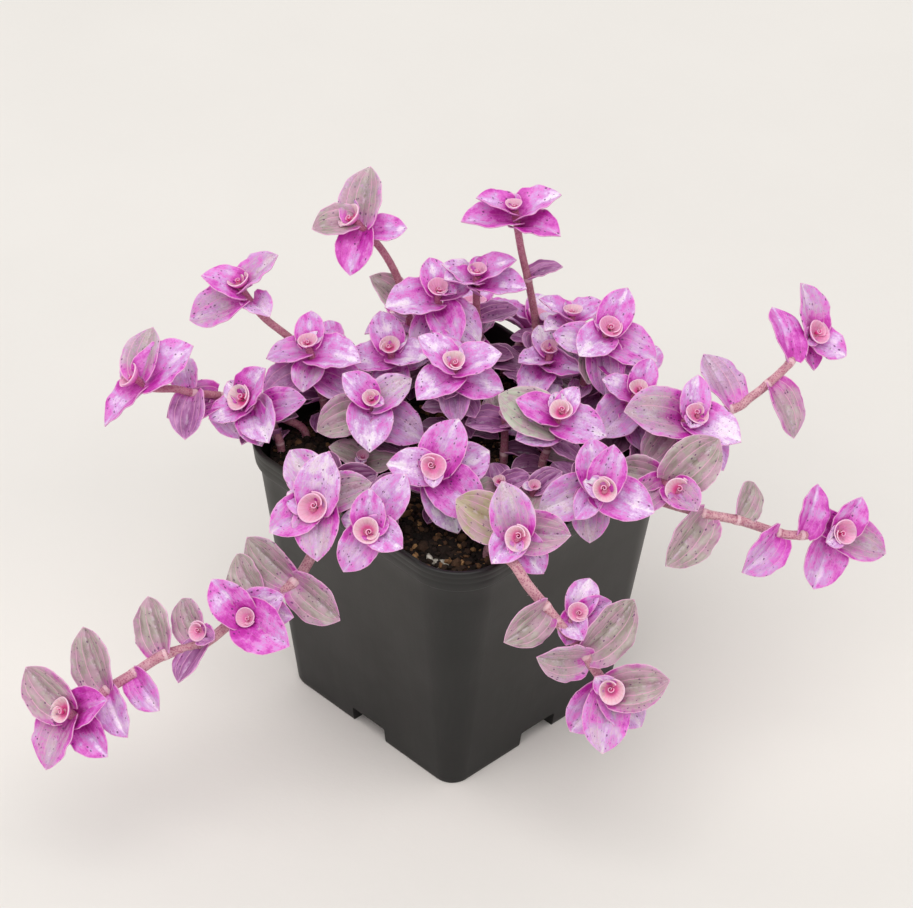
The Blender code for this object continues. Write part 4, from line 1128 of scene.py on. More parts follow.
def fine_stem(growth, line, radius, roots, tone, draw):
    """A stem with a swollen pale collar at each leaf, and short hairs. Its tone is 0 if pale, -1 if dark."""
    fine = smooth_line(line, STEM_STEP)
    radii = []
    looks = []
    for index, place in enumerate(fine):
        nearest = min(((place - root).length for root in roots), default=FAR_LEAF)
        collar = math.exp(-(max(nearest - ROOT_OFFSET, 0.0) / COLLAR_REACH) ** 2)
        taper = 1 - STEM_TAPER * index / len(fine)
        radii.append(radius * taper * (1 + COLLAR_SWELL * collar))
        looks.append((collar, index / len(fine), tone))
    growth.tube(fine, radii, looks, STEM)
    hairs = []
    for index in range(1, len(fine) - 1):
        if fine[index].z < SOIL_TOP:
            continue
        direction = (fine[index + 1] - fine[index - 1]).normalized()
        for _ in range(int(HAIRS_PER_STEP + draw.random())):
            out = clock_vector(direction, draw.uniform(0, 360))
            foot = fine[index] + out * radii[index] * HAIR_SEAT + direction * draw.uniform(*HAIR_SHIFT)
            tilted = (out + direction * draw.uniform(*HAIR_TILT)).normalized()
            hairs.append((foot, tilted, draw.uniform(*HAIR_LENGTH)))
    growth.hairs(hairs, (0.0, 0.5, 1.0), STEM)


def blade_age(shoot, leaf, draw):
    """How old a blade is and what it turns to with age; an age over 1 also darkens it with painted shade."""
    spread = draw.uniform(-AGE_SPREAD, AGE_SPREAD)
    dusk = draw.random() ** DUSK_LEAN
    if leaf.mark in SEEN_AGES.get(shoot.name, {}):
        age, dusk = SEEN_AGES[shoot.name][leaf.mark]
    elif leaf.rank >= 0:
        age = ROSETTE_AGE[leaf.rank]
    # Blades low in the pot get ages over 1, which darken them with painted shade
    elif leaf.root.z < DEEP_SHADE_BELOW and not shoot.name.startswith("trail"):
        age = draw.uniform(*DEEP_AGE_AND_SHADE)
    else:
        age = draw.uniform(*LOWER_AGE)
    return max(age + spread, 0.0), dusk


def turned_leaf(leaf, heading, rise, size):
    """A blade turned to a heading and a rise, and made larger or smaller."""
    along = heading_vector(heading, 90 - rise)
    radial = (along - along.dot(leaf.axis) * leaf.axis).normalized()
    return replace(leaf, radial=radial, pitch=math.degrees(along.angle(leaf.axis)), length=leaf.length * size,
                   width=leaf.width * size, turned=MORE_TO_LIGHT)


def build_shoot(shoot, materials, blade_grid, cup_grid):
    """A shoot's stem, cups and blades as one piece."""
    draw = random.Random(f"{shoot.name} looks")
    growth = Growth()
    roots = [leaf.root for leaf in shoot.leaves if leaf.rank < 0]
    tone = 0.0 if shoot.name in FINE_RADII else -1.0
    lines = [shoot.line, *shoot.branches]
    for line, (centre, axis, size) in zip(lines, shoot.cups):
        main = line is shoot.line
        push = 0.0 if main else PUSHED_CUPS.get(shoot.name, 0.0)
        line = [*line, line[-1] + axis * (push + FINE_STEM_END)]
        radius = FINE_RADII.get(shoot.name, FINE_RADIUS) if main else BRANCH_RADIUS
        fine_stem(growth, line, radius, roots if main else [], tone, draw)
        centre = centre + axis * push
        size = CUP_SHARES.get(shoot.name, 1.0) if main else size * SIDE_CUP_SHARE
        fine_cup(growth, centre, axis, size, draw, cup_grid)
        if not any(leaf.is_young() for leaf in shoot.leaves):
            fine_blade(growth, petal(centre, axis, size, shoot.leaves, draw), 0.0, 1.0, draw, blade_grid)
    for leaf in shoot.leaves:
        if leaf.rank >= 0 and leaf.length > YOUNG_LENGTH:
            leaf = replace(leaf, pitch=max(leaf.pitch, OPEN_PITCH))
        if leaf.mark in SEEN_WAYS.get(shoot.name, {}):
            leaf = turned_leaf(leaf, *SEEN_WAYS[shoot.name][leaf.mark])
        fine_blade(growth, leaf, *blade_age(shoot, leaf, draw), draw, blade_grid)
    name = shoot.name.replace("shoot", "leafy_stem").replace("trail", "long_stem")
    piece = growth.piece(name, materials)
    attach(piece, "root")
    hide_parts(shoot.name)
    return piece


# Pot

def square_place(turn, width, corner, z):
    """Place at a share of the way round a square with round corners."""
    quarter, step = divmod(turn, POT_CORNER_STEPS + POT_SIDE_STEPS)
    sx, sy = ((1, 1), (-1, 1), (-1, -1), (1, -1))[quarter]
    inner = width / 2 - corner
    angle = math.pi / 2 * (quarter + min(step / POT_CORNER_STEPS, 1.0))
    off = Vector((math.cos(angle), math.sin(angle))) * corner
    place = Vector((sx * inner + off.x, sy * inner + off.y, z))
    if step > POT_CORNER_STEPS:
        straight = Vector((math.cos(angle + math.pi / 2), math.sin(angle + math.pi / 2), 0))
        place += straight * 2 * inner * (step - POT_CORNER_STEPS) / POT_SIDE_STEPS
    return place


def pot_width(z):
    """Outside width of the pot's body, below its band, at a height."""
    return POT_BASE_WIDTH + (POT_TOP_WIDTH - 2 * BAND_STEP - POT_BASE_WIDTH) * z / POT_HEIGHT


def pot_corner(z):
    """Corner radius of the pot at a height."""
    return BASE_CORNER + (TOP_CORNER - BASE_CORNER) * z / POT_HEIGHT


def inner_width(z):
    """Inside width of the pot at a height."""
    return pot_width(z) - 2 * POT_WALL


def band_width(z):
    """Outside width of the rim band at a height."""
    bottom = POT_HEIGHT - BAND_HEIGHT
    return pot_width(bottom) + 2 * BAND_STEP + (POT_TOP_WIDTH - pot_width(bottom) - 2 * BAND_STEP) * (
        (z - bottom) / BAND_HEIGHT)


def pot_rings():
    """Widths and heights from the underside up the outside and down to the floor."""
    band = POT_HEIGHT - BAND_HEIGHT
    mouth = POT_TOP_WIDTH - 2 * POT_WALL
    # Rounded foot and plain side
    rings = [(pot_width(0) - 1.6, 0.0), (pot_width(0.15) - 0.5, 0.0), (pot_width(0.6) - 0.1, 0.5)]
    rings += [(pot_width(z), z) for z in (1.4, 12, 24, 36, 48, 57, band - 0.5)]
    # Step out to the band
    rings += [(pot_width(band) + 0.15, band - 0.12), (pot_width(band) + 0.5, band)]
    rings += [(band_width(band) - 0.4, band), (band_width(band) - 0.08, band + 0.14)]
    rings += [(band_width(band + 0.4), band + 0.4)]
    # Two fine lines round the band
    for z in (band + 2.4, POT_HEIGHT - 1.6):
        rings += [(band_width(z - 0.14), z - 0.14), (band_width(z) - 0.06, z)]
        rings += [(band_width(z + 0.14), z + 0.14)]
    # Rim, rounded on both sides
    rings += [(POT_TOP_WIDTH, POT_HEIGHT - 0.5), (POT_TOP_WIDTH - 0.16, POT_HEIGHT - 0.15)]
    rings += [(POT_TOP_WIDTH - 0.6, POT_HEIGHT), (mouth + 0.6, POT_HEIGHT)]
    rings += [(mouth + 0.12, POT_HEIGHT - 0.15), (mouth, POT_HEIGHT - 0.6)]
    # Inside and floor
    rings += [(inner_width(z), z) for z in (band - POT_WALL, 40, 20, POT_FLOOR + 1.0)]
    rings += [(inner_width(POT_FLOOR) - 0.6, POT_FLOOR + 0.2), (inner_width(POT_FLOOR) - 2.0, POT_FLOOR)]
    return rings


def fine_pot(material):
    """The pot with rounded edges, a grooved band and a drain slot in the middle of each side."""
    around = 4 * (POT_CORNER_STEPS + POT_SIDE_STEPS)
    rings = pot_rings()
    bm = bmesh.new()
    turn = bm.verts.layers.int.new("turn")
    bmesh.ops.create_circle(bm, cap_ends=True, segments=around, radius=1.0)
    for vert in bm.verts:
        angle = math.atan2(vert.co.y, vert.co.x) % (2 * math.pi)
        vert[turn] = round(angle / (2 * math.pi) * around) % around
    rim = bm.edges[:]
    verts = bm.verts[:]
    for index, (width, z) in enumerate(rings):
        if index:
            geometry = bmesh.ops.extrude_edge_only(bm, edges=rim)["geom"]
            verts = verts_in(geometry)
            rim = rim_in(geometry)
        corner = pot_corner(z) - (pot_width(z) - width) / 2
        for vert in verts:
            vert.co = square_place(vert[turn], width, corner, z)
    bmesh.ops.holes_fill(bm, edges=rim, sides=0)
    bmesh.ops.recalc_face_normals(bm, faces=bm.faces)
    bm.verts.layers.int.remove(turn)
    pot = mesh_piece("nursery_pot", bm, material)
    cut_slots(pot)
    pot.data.shade_smooth()
    pot.data.set_sharp_from_angle(angle=POT_SHARP)
    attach(pot, "root")
    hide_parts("pot")
    return pot


def cut_slots(pot):
    """Cut a drain slot in the middle of each side, at the foot of the wall."""
    material = pot.data.materials[0]
    bm = bmesh.new()
    for quarter in range(4):
        verts = bmesh.ops.create_cube(bm, size=1.0)["verts"]
        bmesh.ops.scale(bm, vec=(2 * SLOT_DEPTH, SLOT_WIDTH, 2 * SLOT_HEIGHT), verts=verts)
        edges = []
        for edge in {edge for vert in verts for edge in vert.link_edges}:
            start, end = (vert.co for vert in edge.verts)
            if start.z > 0 and end.z > 0 and abs(start.y - end.y) < 1:
                edges.append(edge)
        geometry = bmesh.ops.bevel(bm, geom=edges, offset=SLOT_ROUND, affect="EDGES", segments=3,
                                   profile=0.5, material=-1)
        verts = [vert for vert in set(verts) | set(geometry["verts"]) if vert.is_valid]
        bmesh.ops.translate(bm, vec=(POT_BASE_WIDTH / 2, 0, 0), verts=verts)
        bmesh.ops.rotate(bm, matrix=Matrix.Rotation(math.pi / 2 * quarter, 3, "Z"), verts=verts)
    cutter = mesh_piece("slot_cutter", bm, material)
    modifier = pot.modifiers.new("Slots", "BOOLEAN")
    modifier.operation = "DIFFERENCE"
    modifier.object = cutter
    modifier.solver = "EXACT"
    mesh = solved_mesh(pot)
    pot.modifiers.clear()
    pot.data = mesh
    mesh.materials.clear()
    mesh.materials.append(material)
    bpy.data.objects.remove(cutter)


# Soil

def round_corner(x, y, half, corner):
    """Move a point of a square onto the square with round corners."""
    core = Vector((max(min(x, half - corner), corner - half), max(min(y, half - corner), corner - half)))
    off = Vector((x, y)) - core
    if off.x and off.y:
        off = off.normalized() * max(abs(off.x), abs(off.y))
    return core + off


def fine_soil(material):
    """The potting mix: a lumpy top strewn with granules, and sides that follow the pot."""
    draw = random.Random(SEED + 2)
    bm = bmesh.new()
    look_layer = bm.verts.layers.float_vector.new("look")
    bmesh.ops.create_grid(bm, x_segments=SOIL_MESH_CELLS, y_segments=SOIL_MESH_CELLS, size=1.0)
    rim = [edge for edge in bm.edges if edge.is_boundary]
    half = inner_width(SOIL_TOP) / 2 - 2 * GAP
    humps = [(draw.uniform(-half, half), draw.uniform(-half, half), draw.uniform(*HUMP_WIDTH),
              draw.uniform(-1, 1)) for _ in range(HUMPS)]

    def ground(x, y):
        """Height of the soil at a place."""
        swell = sum(high * math.exp(-((x - mx) ** 2 + (y - my) ** 2) / (wide * wide))
                    for mx, my, wide, high in humps)
        return SOIL_TOP - SOIL_DIP + SOIL_SWELL * max(min(swell, 1.0), -1.0)

    for vert in bm.verts:
        at_edge = vert.is_boundary
        x, y = round_corner(vert.co.x * half, vert.co.y * half, half, pot_corner(SOIL_TOP))
        grain = 0.0 if at_edge else SOIL_GRAIN * draw.uniform(-1, 1)
        vert.co = Vector((x, y, ground(x, y) + grain))
        vert[look_layer] = (draw.uniform(*PEAT_TONE), 0.0, 0.0)
    for z in (POT_HEIGHT - BAND_HEIGHT - 2 * POT_WALL, POT_FLOOR + GAP):
        below = bmesh.ops.extrude_edge_only(bm, edges=rim)["geom"]
        half_here = inner_width(z) / 2 - GAP
        scale = half_here / half
        for vert in verts_in(below):
            vert.co = Vector((vert.co.x * scale, vert.co.y * scale, z))
        half = half_here
        rim = rim_in(below)
    bmesh.ops.holes_fill(bm, edges=rim, sides=0)
    bmesh.ops.recalc_face_normals(bm, faces=bm.faces)
    bm.from_mesh(strewn_granules(ground, draw))
    soil = mesh_piece("potting_mix", bm, material)
    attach(soil, "root")
    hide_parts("soil")
    return soil


def granule_places(ground, draw):
    """How each granule lies on the soil, with its look: tone, 1 for a granule, and 1 for a pale flake."""
    half = inner_width(SOIL_TOP) / 2 - GRANULE_CLEAR
    granules = []
    for _ in range(GRANULES):
        x, y = round_corner(draw.uniform(-half, half), draw.uniform(-half, half), half, pot_corner(SOIL_TOP))
        size = BIG_GRANULE_SIZE if draw.random() < BIG_GRANULES else GRANULE_SIZE
        granules.append((x, y, draw.uniform(*size), 0.0))
    for x, y in PALE_FLAKES:
        granules.append((x, y, draw.uniform(*FLAKE_SIZE), 1.0))
    placed = []
    for x, y, radius, pale in granules:
        stretch = [draw.uniform(*GRANULE_STRETCH), draw.uniform(*GRANULE_STRETCH),
                   draw.uniform(*GRANULE_FLATNESS), 1.0]
        if pale:
            stretch[0], stretch[2] = FLAKE_LENGTH, FLAKE_THICKNESS
        turn = Matrix.Rotation(draw.uniform(*GRANULE_TURN), 4, "Z")
        turn = turn @ Matrix.Rotation(draw.uniform(*GRANULE_TILT), 4, "X")
        place = Matrix.Translation((x, y, ground(x, y) + radius * draw.uniform(*GRANULE_RISE)))
        matrix = place @ turn @ Matrix.Diagonal(stretch) @ Matrix.Scale(radius, 4)
        placed.append((matrix, (draw.random(), 1.0, pale)))
    return placed


def strewn_granules(ground, draw):
    """Loose granules on the soil, with a few pale flakes near the front corner."""
    one = bmesh.new()
    bmesh.ops.create_icosphere(one, subdivisions=1, radius=1.0)
    granule = mesh_of(one, "granule")
    corners = len(granule.vertices)
    placed = granule_places(ground, draw)
    bm = bmesh.new()
    look_layer = bm.verts.layers.float_vector.new("look")
    for _ in placed:
        bm.from_mesh(granule)
    for index, vert in enumerate(bm.verts):
        matrix, look = placed[index // corners]
        vert.co = matrix @ (vert.co * draw.uniform(*GRANULE_DENTS))
        vert[look_layer] = look
    return mesh_of(bm, "granules")


# Materials

def colour(red, green, blue):
    """Linear colour from the 0 to 255 scale of a picture."""
    def linear(value):
        value /= 255
        return value / 12.92 if value <= 0.04045 else ((value + 0.055) / 1.055) ** 2.4
    return (linear(red), linear(green), linear(blue), 1.0)


class Recipe:
    """The nodes of one material."""

    def __init__(self, name, **settings):
        self.material = bpy.data.materials.new(name)
        self.material.use_nodes = True
        self.tree = self.material.node_tree
        self.shader = self.tree.nodes["Principled BSDF"]
        for socket, value in settings.items():
            self.shader.inputs[socket.replace("_", " ")].default_value = value

    def feed(self, socket, value):
        """Link a socket or set its value."""
        if isinstance(value, bpy.types.NodeSocket):
            self.tree.links.new(value, socket)
        else:
            socket.default_value = value

    def finish(self, **inputs):
        """Feed the shader's sockets."""
        for socket, value in inputs.items():
            self.feed(self.shader.inputs[socket.replace("_", " ")], value)
        return self.material

    def attribute(self, name):
        """The three numbers kept at each vertex under a name, and their vector."""
        node = self.tree.nodes.new("ShaderNodeAttribute")
        node.attribute_name = name
        return (*self.split(node.outputs["Vector"]), node.outputs["Vector"])

    def split(self, vector):
        """The three numbers of a vector."""
        node = self.tree.nodes.new("ShaderNodeSeparateXYZ")
        self.tree.links.new(vector, node.inputs[0])
        return tuple(node.outputs)

    def place(self):
        """Object coordinates."""
        return self.tree.nodes.new("ShaderNodeTexCoord").outputs["Object"]

    def math(self, operation, first, second=0.0):
        """One sum."""
        node = self.tree.nodes.new("ShaderNodeMath")
        node.operation = operation
        self.feed(node.inputs[0], first)
        self.feed(node.inputs[1], second)
        return node.outputs[0]

    def plus(self, first, second):
        """Two numbers added."""
        return self.math("ADD", first, second)

    def minus(self, first, second):
        """One number less another."""
        return self.math("SUBTRACT", first, second)

    def times(self, first, second):
        """Two numbers multiplied."""
        return self.math("MULTIPLY", first, second)

    def weighted(self, value, tones, shares):
        """A number with a share of each tone added."""
        for tone, share in zip(tones, shares):
            value = self.plus(value, self.times(tone, share))
        return value

    def join(self, x, y, z=0.0):
        """A vector from three numbers."""
        node = self.tree.nodes.new("ShaderNodeCombineXYZ")
        for socket, value in zip(node.inputs, (x, y, z)):
            self.feed(socket, value)
        return node.outputs[0]

    def scaled(self, vector, x, y, z):
        """A vector stretched along its axes."""
        node = self.tree.nodes.new("ShaderNodeMapping")
        self.feed(node.inputs["Vector"], vector)
        node.inputs["Scale"].default_value = (x, y, z)
        return node.outputs[0]

    def soft_step(self, value, start, end, low=0.0, high=1.0):
        """A smooth step from low at start to high at end."""
        node = self.tree.nodes.new("ShaderNodeMapRange")
        node.interpolation_type = "SMOOTHSTEP"
        for socket, number in zip(node.inputs, (value, start, end, low, high)):
            self.feed(socket, number)
        return node.outputs[0]

    def mix(self, factor, first, second):
        """A mix of two colours."""
        node = self.tree.nodes.new("ShaderNodeMix")
        node.data_type = "RGBA"
        # Its sockets 6 and 7 are the two colours
        self.feed(node.inputs["Factor"], factor)
        self.feed(node.inputs[6], first)
        self.feed(node.inputs[7], second)
        return node.outputs[2]

    def over(self, base, share, tint):
        """A colour with a share of one plain colour laid over it."""
        return self.mix(share, base, colour(*tint))

    def ramp(self, value, stops):
        """A colour that changes with a value."""
        node = self.tree.nodes.new("ShaderNodeValToRGB")
        elements = node.color_ramp.elements
        while len(elements) < len(stops):
            elements.new(0.5)
        for element, (position, *tint) in zip(elements, stops):
            element.position = position
            element.color = colour(*tint)
        self.feed(node.inputs[0], value)
        return node.outputs[0]

    def noise(self, vector, scale, detail=3.0, roughness=0.55):
        """Soft noise from 0 to 1."""
        node = self.tree.nodes.new("ShaderNodeTexNoise")
        self.feed(node.inputs["Vector"], vector)
        node.inputs["Scale"].default_value = scale
        node.inputs["Detail"].default_value = detail
        node.inputs["Roughness"].default_value = roughness
        return node.outputs[0]

    def cells(self, vector, scale):
        """Distance to the nearest of scattered points, and that point's own two random numbers."""
        node = self.tree.nodes.new("ShaderNodeTexVoronoi")
        self.feed(node.inputs["Vector"], vector)
        node.inputs["Scale"].default_value = scale
        split = self.tree.nodes.new("ShaderNodeSeparateColor")
        self.tree.links.new(node.outputs["Color"], split.inputs[0])
        return node.outputs["Distance"], split.outputs[0], split.outputs[1]

    def bump(self, height, distance, strength=1.0):
        """Bump whose height is in metres times distance."""
        node = self.tree.nodes.new("ShaderNodeBump")
        node.inputs["Strength"].default_value = strength
        node.inputs["Distance"].default_value = distance
        self.feed(node.inputs["Height"], height)
        return node.outputs[0]


def vein_lines(r, size):
    """The lengthwise veins as lines of 1 on 0, from the distance across the blade."""
    cycle = r.math("FRACT", r.plus(r.times(size, float(VEINS)), 0.5))
    lines = r.soft_step(r.math("ABSOLUTE", r.minus(cycle, 0.5)), 0.0, 0.1, 1.0, 0.0)
    return r.times(lines, r.soft_step(size, 0.1, 0.25))


def blade_material():
    """Leaf blade: magenta at the base and lilac at the tip when fresh, sage or dusky purple when old, with
    painted shade on blades low in the pot and a pale midrib carrying a painted highlight.
    """
    r = Recipe("turtle_vine_blade", Subsurface_Weight=0.25, Subsurface_Scale=0.0012,
               Subsurface_Radius=(1.0, 0.45, 0.85), Specular_IOR_Level=0.5, Coat_Weight=0.25,
               Coat_Roughness=0.32)
    across, along, margin, _ = r.attribute("blade")
    x, y, number, flat = r.attribute("flat")
    age, under, dusk, _ = r.attribute("look")
    size = r.math("ABSOLUTE", across)
    bands = r.noise(r.join(r.times(x, 0.8), r.times(y, 0.2), number), 1.0, 3.0, 0.55)
    patches = r.noise(flat, 0.4, 2.0, 0.5)
    mottle = r.noise(flat, 2.4, 3.0, 0.65)
    streaks = r.noise(r.join(r.times(x, 4.5), r.times(y, 0.9), number), 1.0, 2.0, 0.6)
    away = [r.minus(tone, 0.5) for tone in (bands, patches, mottle, number, streaks)]
    # A pale streak along the midrib towards the tip: painted highlight
    tip_highlight_streak = r.times(r.soft_step(size, 0.0, 0.35, 1.0, 0.0), r.soft_step(along, 0.25, 0.7))
    edge = r.soft_step(size, 0.55, 1.0)
    # Fresh colour, from the base to the tip
    pale = r.plus(0.22, r.times(r.soft_step(along, 0.0, 0.6), 0.44))
    pale = r.weighted(pale, (*away, tip_highlight_streak, edge), (0.85, 1.2, 0.6, 0.36, 0.4, 0.26, -0.16))
    pale = r.plus(pale, r.soft_step(dusk, 1.0, 2.0, 0.0, -0.4))
    fresh = r.ramp(pale, FRESH_BLADE)
    # Old colour
    sage = r.over(r.ramp(bands, SAGE_BLADE), r.soft_step(dusk, -1.0, 0.0, 0.6, 0.0), YELLOW_BLADE)
    sage = r.over(sage, r.soft_step(dusk, -2.0, -1.5, 0.9, 0.0), PALE_GREEN_BLADE)
    sage = r.over(sage, r.soft_step(patches, 0.44, 0.62, 0.0, 0.6), ROSE_PATCHES)
    old = r.mix(r.soft_step(dusk, 0.35, 0.65), sage, r.ramp(bands, PURPLE_BLADE))
    # A blade ages from its tip to its base
    old_share = r.minus(age, r.times(r.soft_step(along, 0.0, 0.35, 1.0, 0.0), 0.3))
    old_share = r.weighted(old_share, (*away[:3], edge), (0.5, 0.5, 0.6, -0.2))
    base = r.mix(r.soft_step(old_share, 0.15, 0.75), fresh, old)
    # Blades with ages over 1 are darkened: painted shade
    base = r.over(base, r.soft_step(age, 0.95, 1.5, 0.0, 0.68), DEEP_BLADE_PAINTED_SHADE)
    # Pale middle with a painted highlight along it, veins and margin
    broken = r.noise(r.join(r.times(x, 2.0), y, number), 0.8, 2.0)
    middle = r.times(r.soft_step(size, 0.03, 0.16, 1.0, 0.0), r.soft_step(broken, 0.45, 0.62))
    base = r.over(base, r.times(middle, r.soft_step(along, 0.15, 0.4, 0.0, 0.4)), PALE_MIDDLE_AND_HIGHLIGHT)
    veins = vein_lines(r, size)
    vein_share = r.times(veins, r.soft_step(age, 0.05, 0.6, 0.1, 0.7))
    base = r.over(base, r.times(vein_share, r.soft_step(age, 1.0, 1.3, 1.0, 0.35)), VEIN_PINK)
    rim = r.times(r.soft_step(margin, 0.06, 0.24, 0.8, 0.0), r.soft_step(mottle, 0.25, 0.5, 0.4, 1.0))
    base = r.over(base, rim, MARGIN_PINK)
    # Purple specks and finer flecks
    distance, keep, hue = r.cells(r.scaled(flat, 1.0, 0.6, 0.0), 1.45)
    reach = r.plus(r.times(hue, 0.16), 0.09)
    speck = r.soft_step(r.minus(distance, reach), -0.03, 0.04, 1.0, 0.0)
    speck = r.times(speck, r.math("GREATER_THAN", keep, 0.4))
    base = r.over(base, r.times(speck, 0.85), SPECK_PURPLE)
    distance, keep, _ = r.cells(r.scaled(flat, 1.0, 0.55, 0.0), 2.3)
    fleck = r.times(r.soft_step(distance, 0.12, 0.32, 1.0, 0.0), r.math("GREATER_THAN", keep, 0.5))
    base = r.over(base, r.times(fleck, 0.36), FLECK_PURPLE)
    base = r.mix(under, base, r.ramp(bands, BLADE_UNDERSIDE))
    height = r.plus(r.times(veins, -0.6), r.times(r.noise(flat, 6.0, 2.0), 0.8))
    rough = r.soft_step(mottle, 0.3, 0.7, 0.36, 0.5)
    return r.finish(Base_Color=base, Roughness=rough, Normal=r.bump(height, 0.00008, 0.7))


def cup_material():
    """Rolled young leaf: peach pink inside with a magenta foot, pink outside, and with a pale rim."""
    r = Recipe("turtle_vine_cup", Subsurface_Weight=0.4, Subsurface_Scale=0.0015,
               Subsurface_Radius=(1.0, 0.5, 0.6), Specular_IOR_Level=0.4)
    across, along, margin, _ = r.attribute("blade")
    _, _, number, flat = r.attribute("flat")
    _, within, bud, _ = r.attribute("look")
    mottle = r.noise(flat, 0.9, 3.0)
    wave = r.math("SINE", r.times(across, 62.0))
    inside = r.ramp(along, CUP_INSIDE)
    inside = r.over(inside, r.soft_step(number, 0.1, 0.8, 0.0, 0.7), CUP_BLUSH)
    inside = r.over(inside, r.times(r.soft_step(wave, 0.5, 1.0), 0.22), CUP_VEIN)
    inside = r.over(inside, r.soft_step(mottle, 0.5, 0.74, 0.0, 0.3), CUP_MOTTLE)
    base = r.mix(within, r.ramp(along, CUP_OUTSIDE), inside)
    base = r.mix(bud, base, r.ramp(along, BUD_PINK))
    base = r.over(base, r.soft_step(margin, 0.05, 0.2, 0.6, 0.0), CUP_RIM)
    return r.finish(Base_Color=base, Roughness=0.42, Normal=r.bump(wave, 0.00004, 0.5))


def stem_material():
    """Stem: pinkish mauve, finely speckled, with pale collars and pale hairs."""
    r = Recipe("turtle_vine_stem", Subsurface_Weight=0.2, Subsurface_Scale=0.001,
               Subsurface_Radius=(1.0, 0.5, 0.6), Specular_IOR_Level=0.4)
    collar, young, tone, _ = r.attribute("look")
    place = r.place()
    mottle = r.noise(place, 420.0, 4.0, 0.65)
    dark = r.soft_step(tone, -1.0, -0.5, 1.0, 0.0)
    base = r.mix(dark, r.ramp(mottle, PALE_STEM), r.ramp(mottle, DARK_STEM))
    base = r.over(base, r.soft_step(young, 0.6, 1.0, 0.0, 0.35), YOUNG_STEM)
    distance, keep, _ = r.cells(place, 2600.0)
    speck = r.times(r.soft_step(distance, 0.24, 0.6, 1.0, 0.0), r.math("GREATER_THAN", keep, 0.08))
    base = r.over(base, r.times(speck, 0.68), STEM_SPECK)
    base = r.over(base, r.soft_step(collar, 0.7, 1.0, 0.0, 0.65), COLLAR_PINK)
    base = r.over(base, r.soft_step(tone, 0.0, 1.0), HAIR_PINK)
    return r.finish(Base_Color=base, Roughness=0.5, Normal=r.bump(mottle, 0.0001, 0.5))


def soil_material():
    """Potting mix: nearly black peat with brown, tan and ochre granules and pale flakes."""
    r = Recipe("potting_mix", Specular_IOR_Level=0.25, Roughness=0.9)
    tone, granule, pale, _ = r.attribute("look")
    grain = r.noise(r.place(), 900.0, 4.0, 0.7)
    grains = r.over(r.ramp(tone, GRANULE_BROWNS), r.soft_step(grain, 0.3, 0.7, 0.4, 0.0), GRANULE_DIRT)
    base = r.mix(granule, r.ramp(grain, PEAT), grains)
    base = r.mix(pale, base, r.ramp(grain, FLAKE_GREY))
    return r.finish(Base_Color=base, Normal=r.bump(grain, 0.0004, 0.7))


def pot_material():
    """Charcoal plastic with a satin moulded surface and light dust, with painted shade darkening its foot and
    front corner and a painted reflection lightening it towards the rim.
    """
    r = Recipe("nursery_pot_plastic", Specular_IOR_Level=0.45)
    place = r.place()
    cloud = r.noise(place, 26.0, 4.0, 0.6)
    grain = r.noise(place, 1500.0, 2.0, 0.6)
    drawn = r.noise(r.scaled(place, 1.0, 1.0, 0.12), 240.0, 3.0, 0.6)
    x, y, high = r.split(place)
    # Darker towards the foot and lighter towards the rim: painted shade and painted reflection
    base = r.mix(r.soft_step(high, 0.0, 0.07), r.ramp(cloud, POT_FOOT_PAINTED_SHADE), r.ramp(cloud, POT_RIM_PAINTED_REFLECTION))
    # The corner nearest the front is darkened: painted shade
    near = r.math("MINIMUM", x, r.times(y, -1.0))
    base = r.over(base, r.soft_step(near, 0.012, 0.03, 0.0, 0.95), POT_FRONT_CORNER_PAINTED_SHADE)
    base = r.over(base, r.soft_step(drawn, 0.5, 0.8, 0.0, 0.2), POT_DUST)
    rough = r.soft_step(cloud, 0.3, 0.7, 0.42, 0.55)
    height = r.plus(r.times(grain, 0.5), drawn)
    return r.finish(Base_Color=base, Roughness=rough, Normal=r.bump(height, 0.00005, 0.6))


def floor_material():
    """Pale cream board with a faint grain, with painted light round the pot that lifts the shade there."""
    r = Recipe("pale_board", Specular_IOR_Level=0.2, Roughness=0.85)
    place = r.place()
    cloud = r.noise(place, 9.0, 4.0, 0.6)
    grain = r.noise(place, 260.0, 3.0, 0.7)
    # Lighter near the pot: painted light that lifts its shade
    x, y, _ = r.split(place)
    beside = r.times(r.plus(x, y), 0.5)
    before = r.minus(x, y)
    away = r.math("SQRT", r.plus(r.times(beside, beside), r.times(before, before)))
    base = r.over(r.ramp(cloud, BOARD), r.soft_step(away, 0.03, 0.115, 1.0, 0.0), BOARD_PAINTED_LIGHT_BY_POT)
    return r.finish(Base_Color=base, Normal=r.bump(grain, 0.0002, 0.3))


# Studio

def build_floor(material):
    """A plain pale floor."""
    bm = bmesh.new()
    bmesh.ops.create_grid(bm, x_segments=4, y_segments=4, size=FLOOR_HALF)
    floor = mesh_piece("floor", bm, material)


def turned_in(vector):
    """A vector of the camera's own axes, turned so the pot stands corner on."""
    cosine = math.sqrt(0.5)
    return Vector(((vector[0] - vector[1]) * cosine, (vector[0] + vector[1]) * cosine, vector[2]))


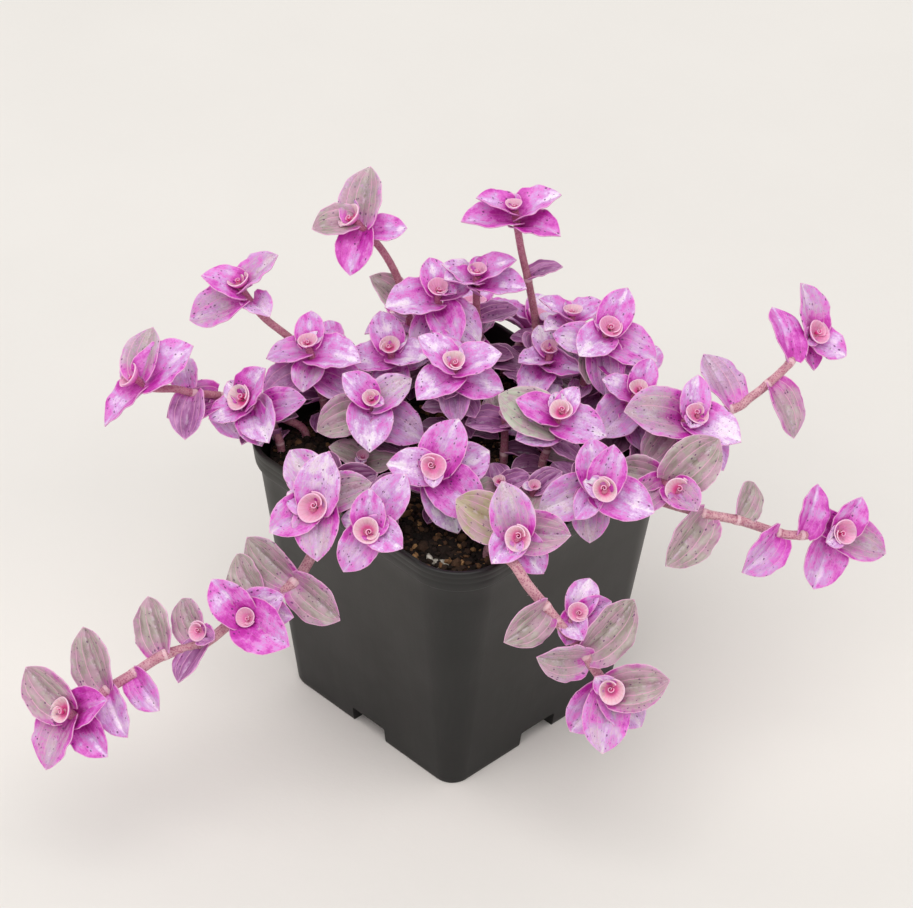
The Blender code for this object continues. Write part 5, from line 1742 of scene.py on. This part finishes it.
def build_camera():
    """A long lens at the photograph's angle."""
    elevation, roll = math.radians(CAMERA_ELEVATION), math.radians(CAMERA_ROLL)
    back = Vector((0, -math.cos(elevation), math.sin(elevation)))
    right, up = Vector((1, 0, 0)), Vector((0, math.sin(elevation), math.cos(elevation)))
    rolled_right = right * math.cos(roll) + up * math.sin(roll)
    rolled_up = up * math.cos(roll) - right * math.sin(roll)
    columns = [turned_in(axis) for axis in
               (rolled_right, rolled_up, back, CAMERA_TARGET + back * CAMERA_DISTANCE)]
    data = bpy.data.cameras.new("camera")
    data.sensor_width = SENSOR
    data.lens = FOCAL_PIXELS * SENSOR / PICTURE_WIDTH
    data.clip_start, data.clip_end = 0.01, 20.0
    camera = shown("camera", data)
    camera.matrix_world = Matrix([*zip(*columns), (0, 0, 0, 1)])
    bpy.context.scene.camera = camera


def build_light():
    """A large soft light at the upper front, turned to the plant."""
    data = bpy.data.lights.new("key", "AREA")
    data.shape = "SQUARE"
    data.size = KEY_SIZE
    data.energy = KEY_WATTS
    data.color = KEY_TINT
    light = shown("key", data)
    light.location = turned_in(KEY_PLACE)
    aim = KEY_AIM - light.location
    light.rotation_mode = "QUATERNION"
    light.rotation_quaternion = aim.to_track_quat("-Z", "Y")


def build_studio():
    """Soft light from all round, stronger from the upper front."""
    scene = bpy.context.scene
    world = bpy.data.worlds.new("studio")
    scene.world = world
    world.use_nodes = True
    background = world.node_tree.nodes["Background"]
    background.inputs["Color"].default_value = ROOM_TINT
    background.inputs["Strength"].default_value = ROOM_LIGHT
    build_light()
    build_floor(floor_material())
    build_camera()
    scene.view_settings.view_transform = "Standard"
    scene.view_settings.look = "None"


def main():
    """Dress the frame: the pot, the soil and every shoot."""
    build_studio()
    fine_pot(pot_material())
    fine_soil(soil_material())
    shoots = plan_shoots()
    place_leaves(shoots)
    leafy = (blade_material(), cup_material(), stem_material())
    blade_grid = grid_template("blade_grid", BLADE_COLUMNS, BLADE_ROWS)
    cup_grid = grid_template("cup_grid", CUP_AROUND, CUP_ROWS)
    for shoot in shoots:
        build_shoot(shoot, leafy, blade_grid, cup_grid)


main()
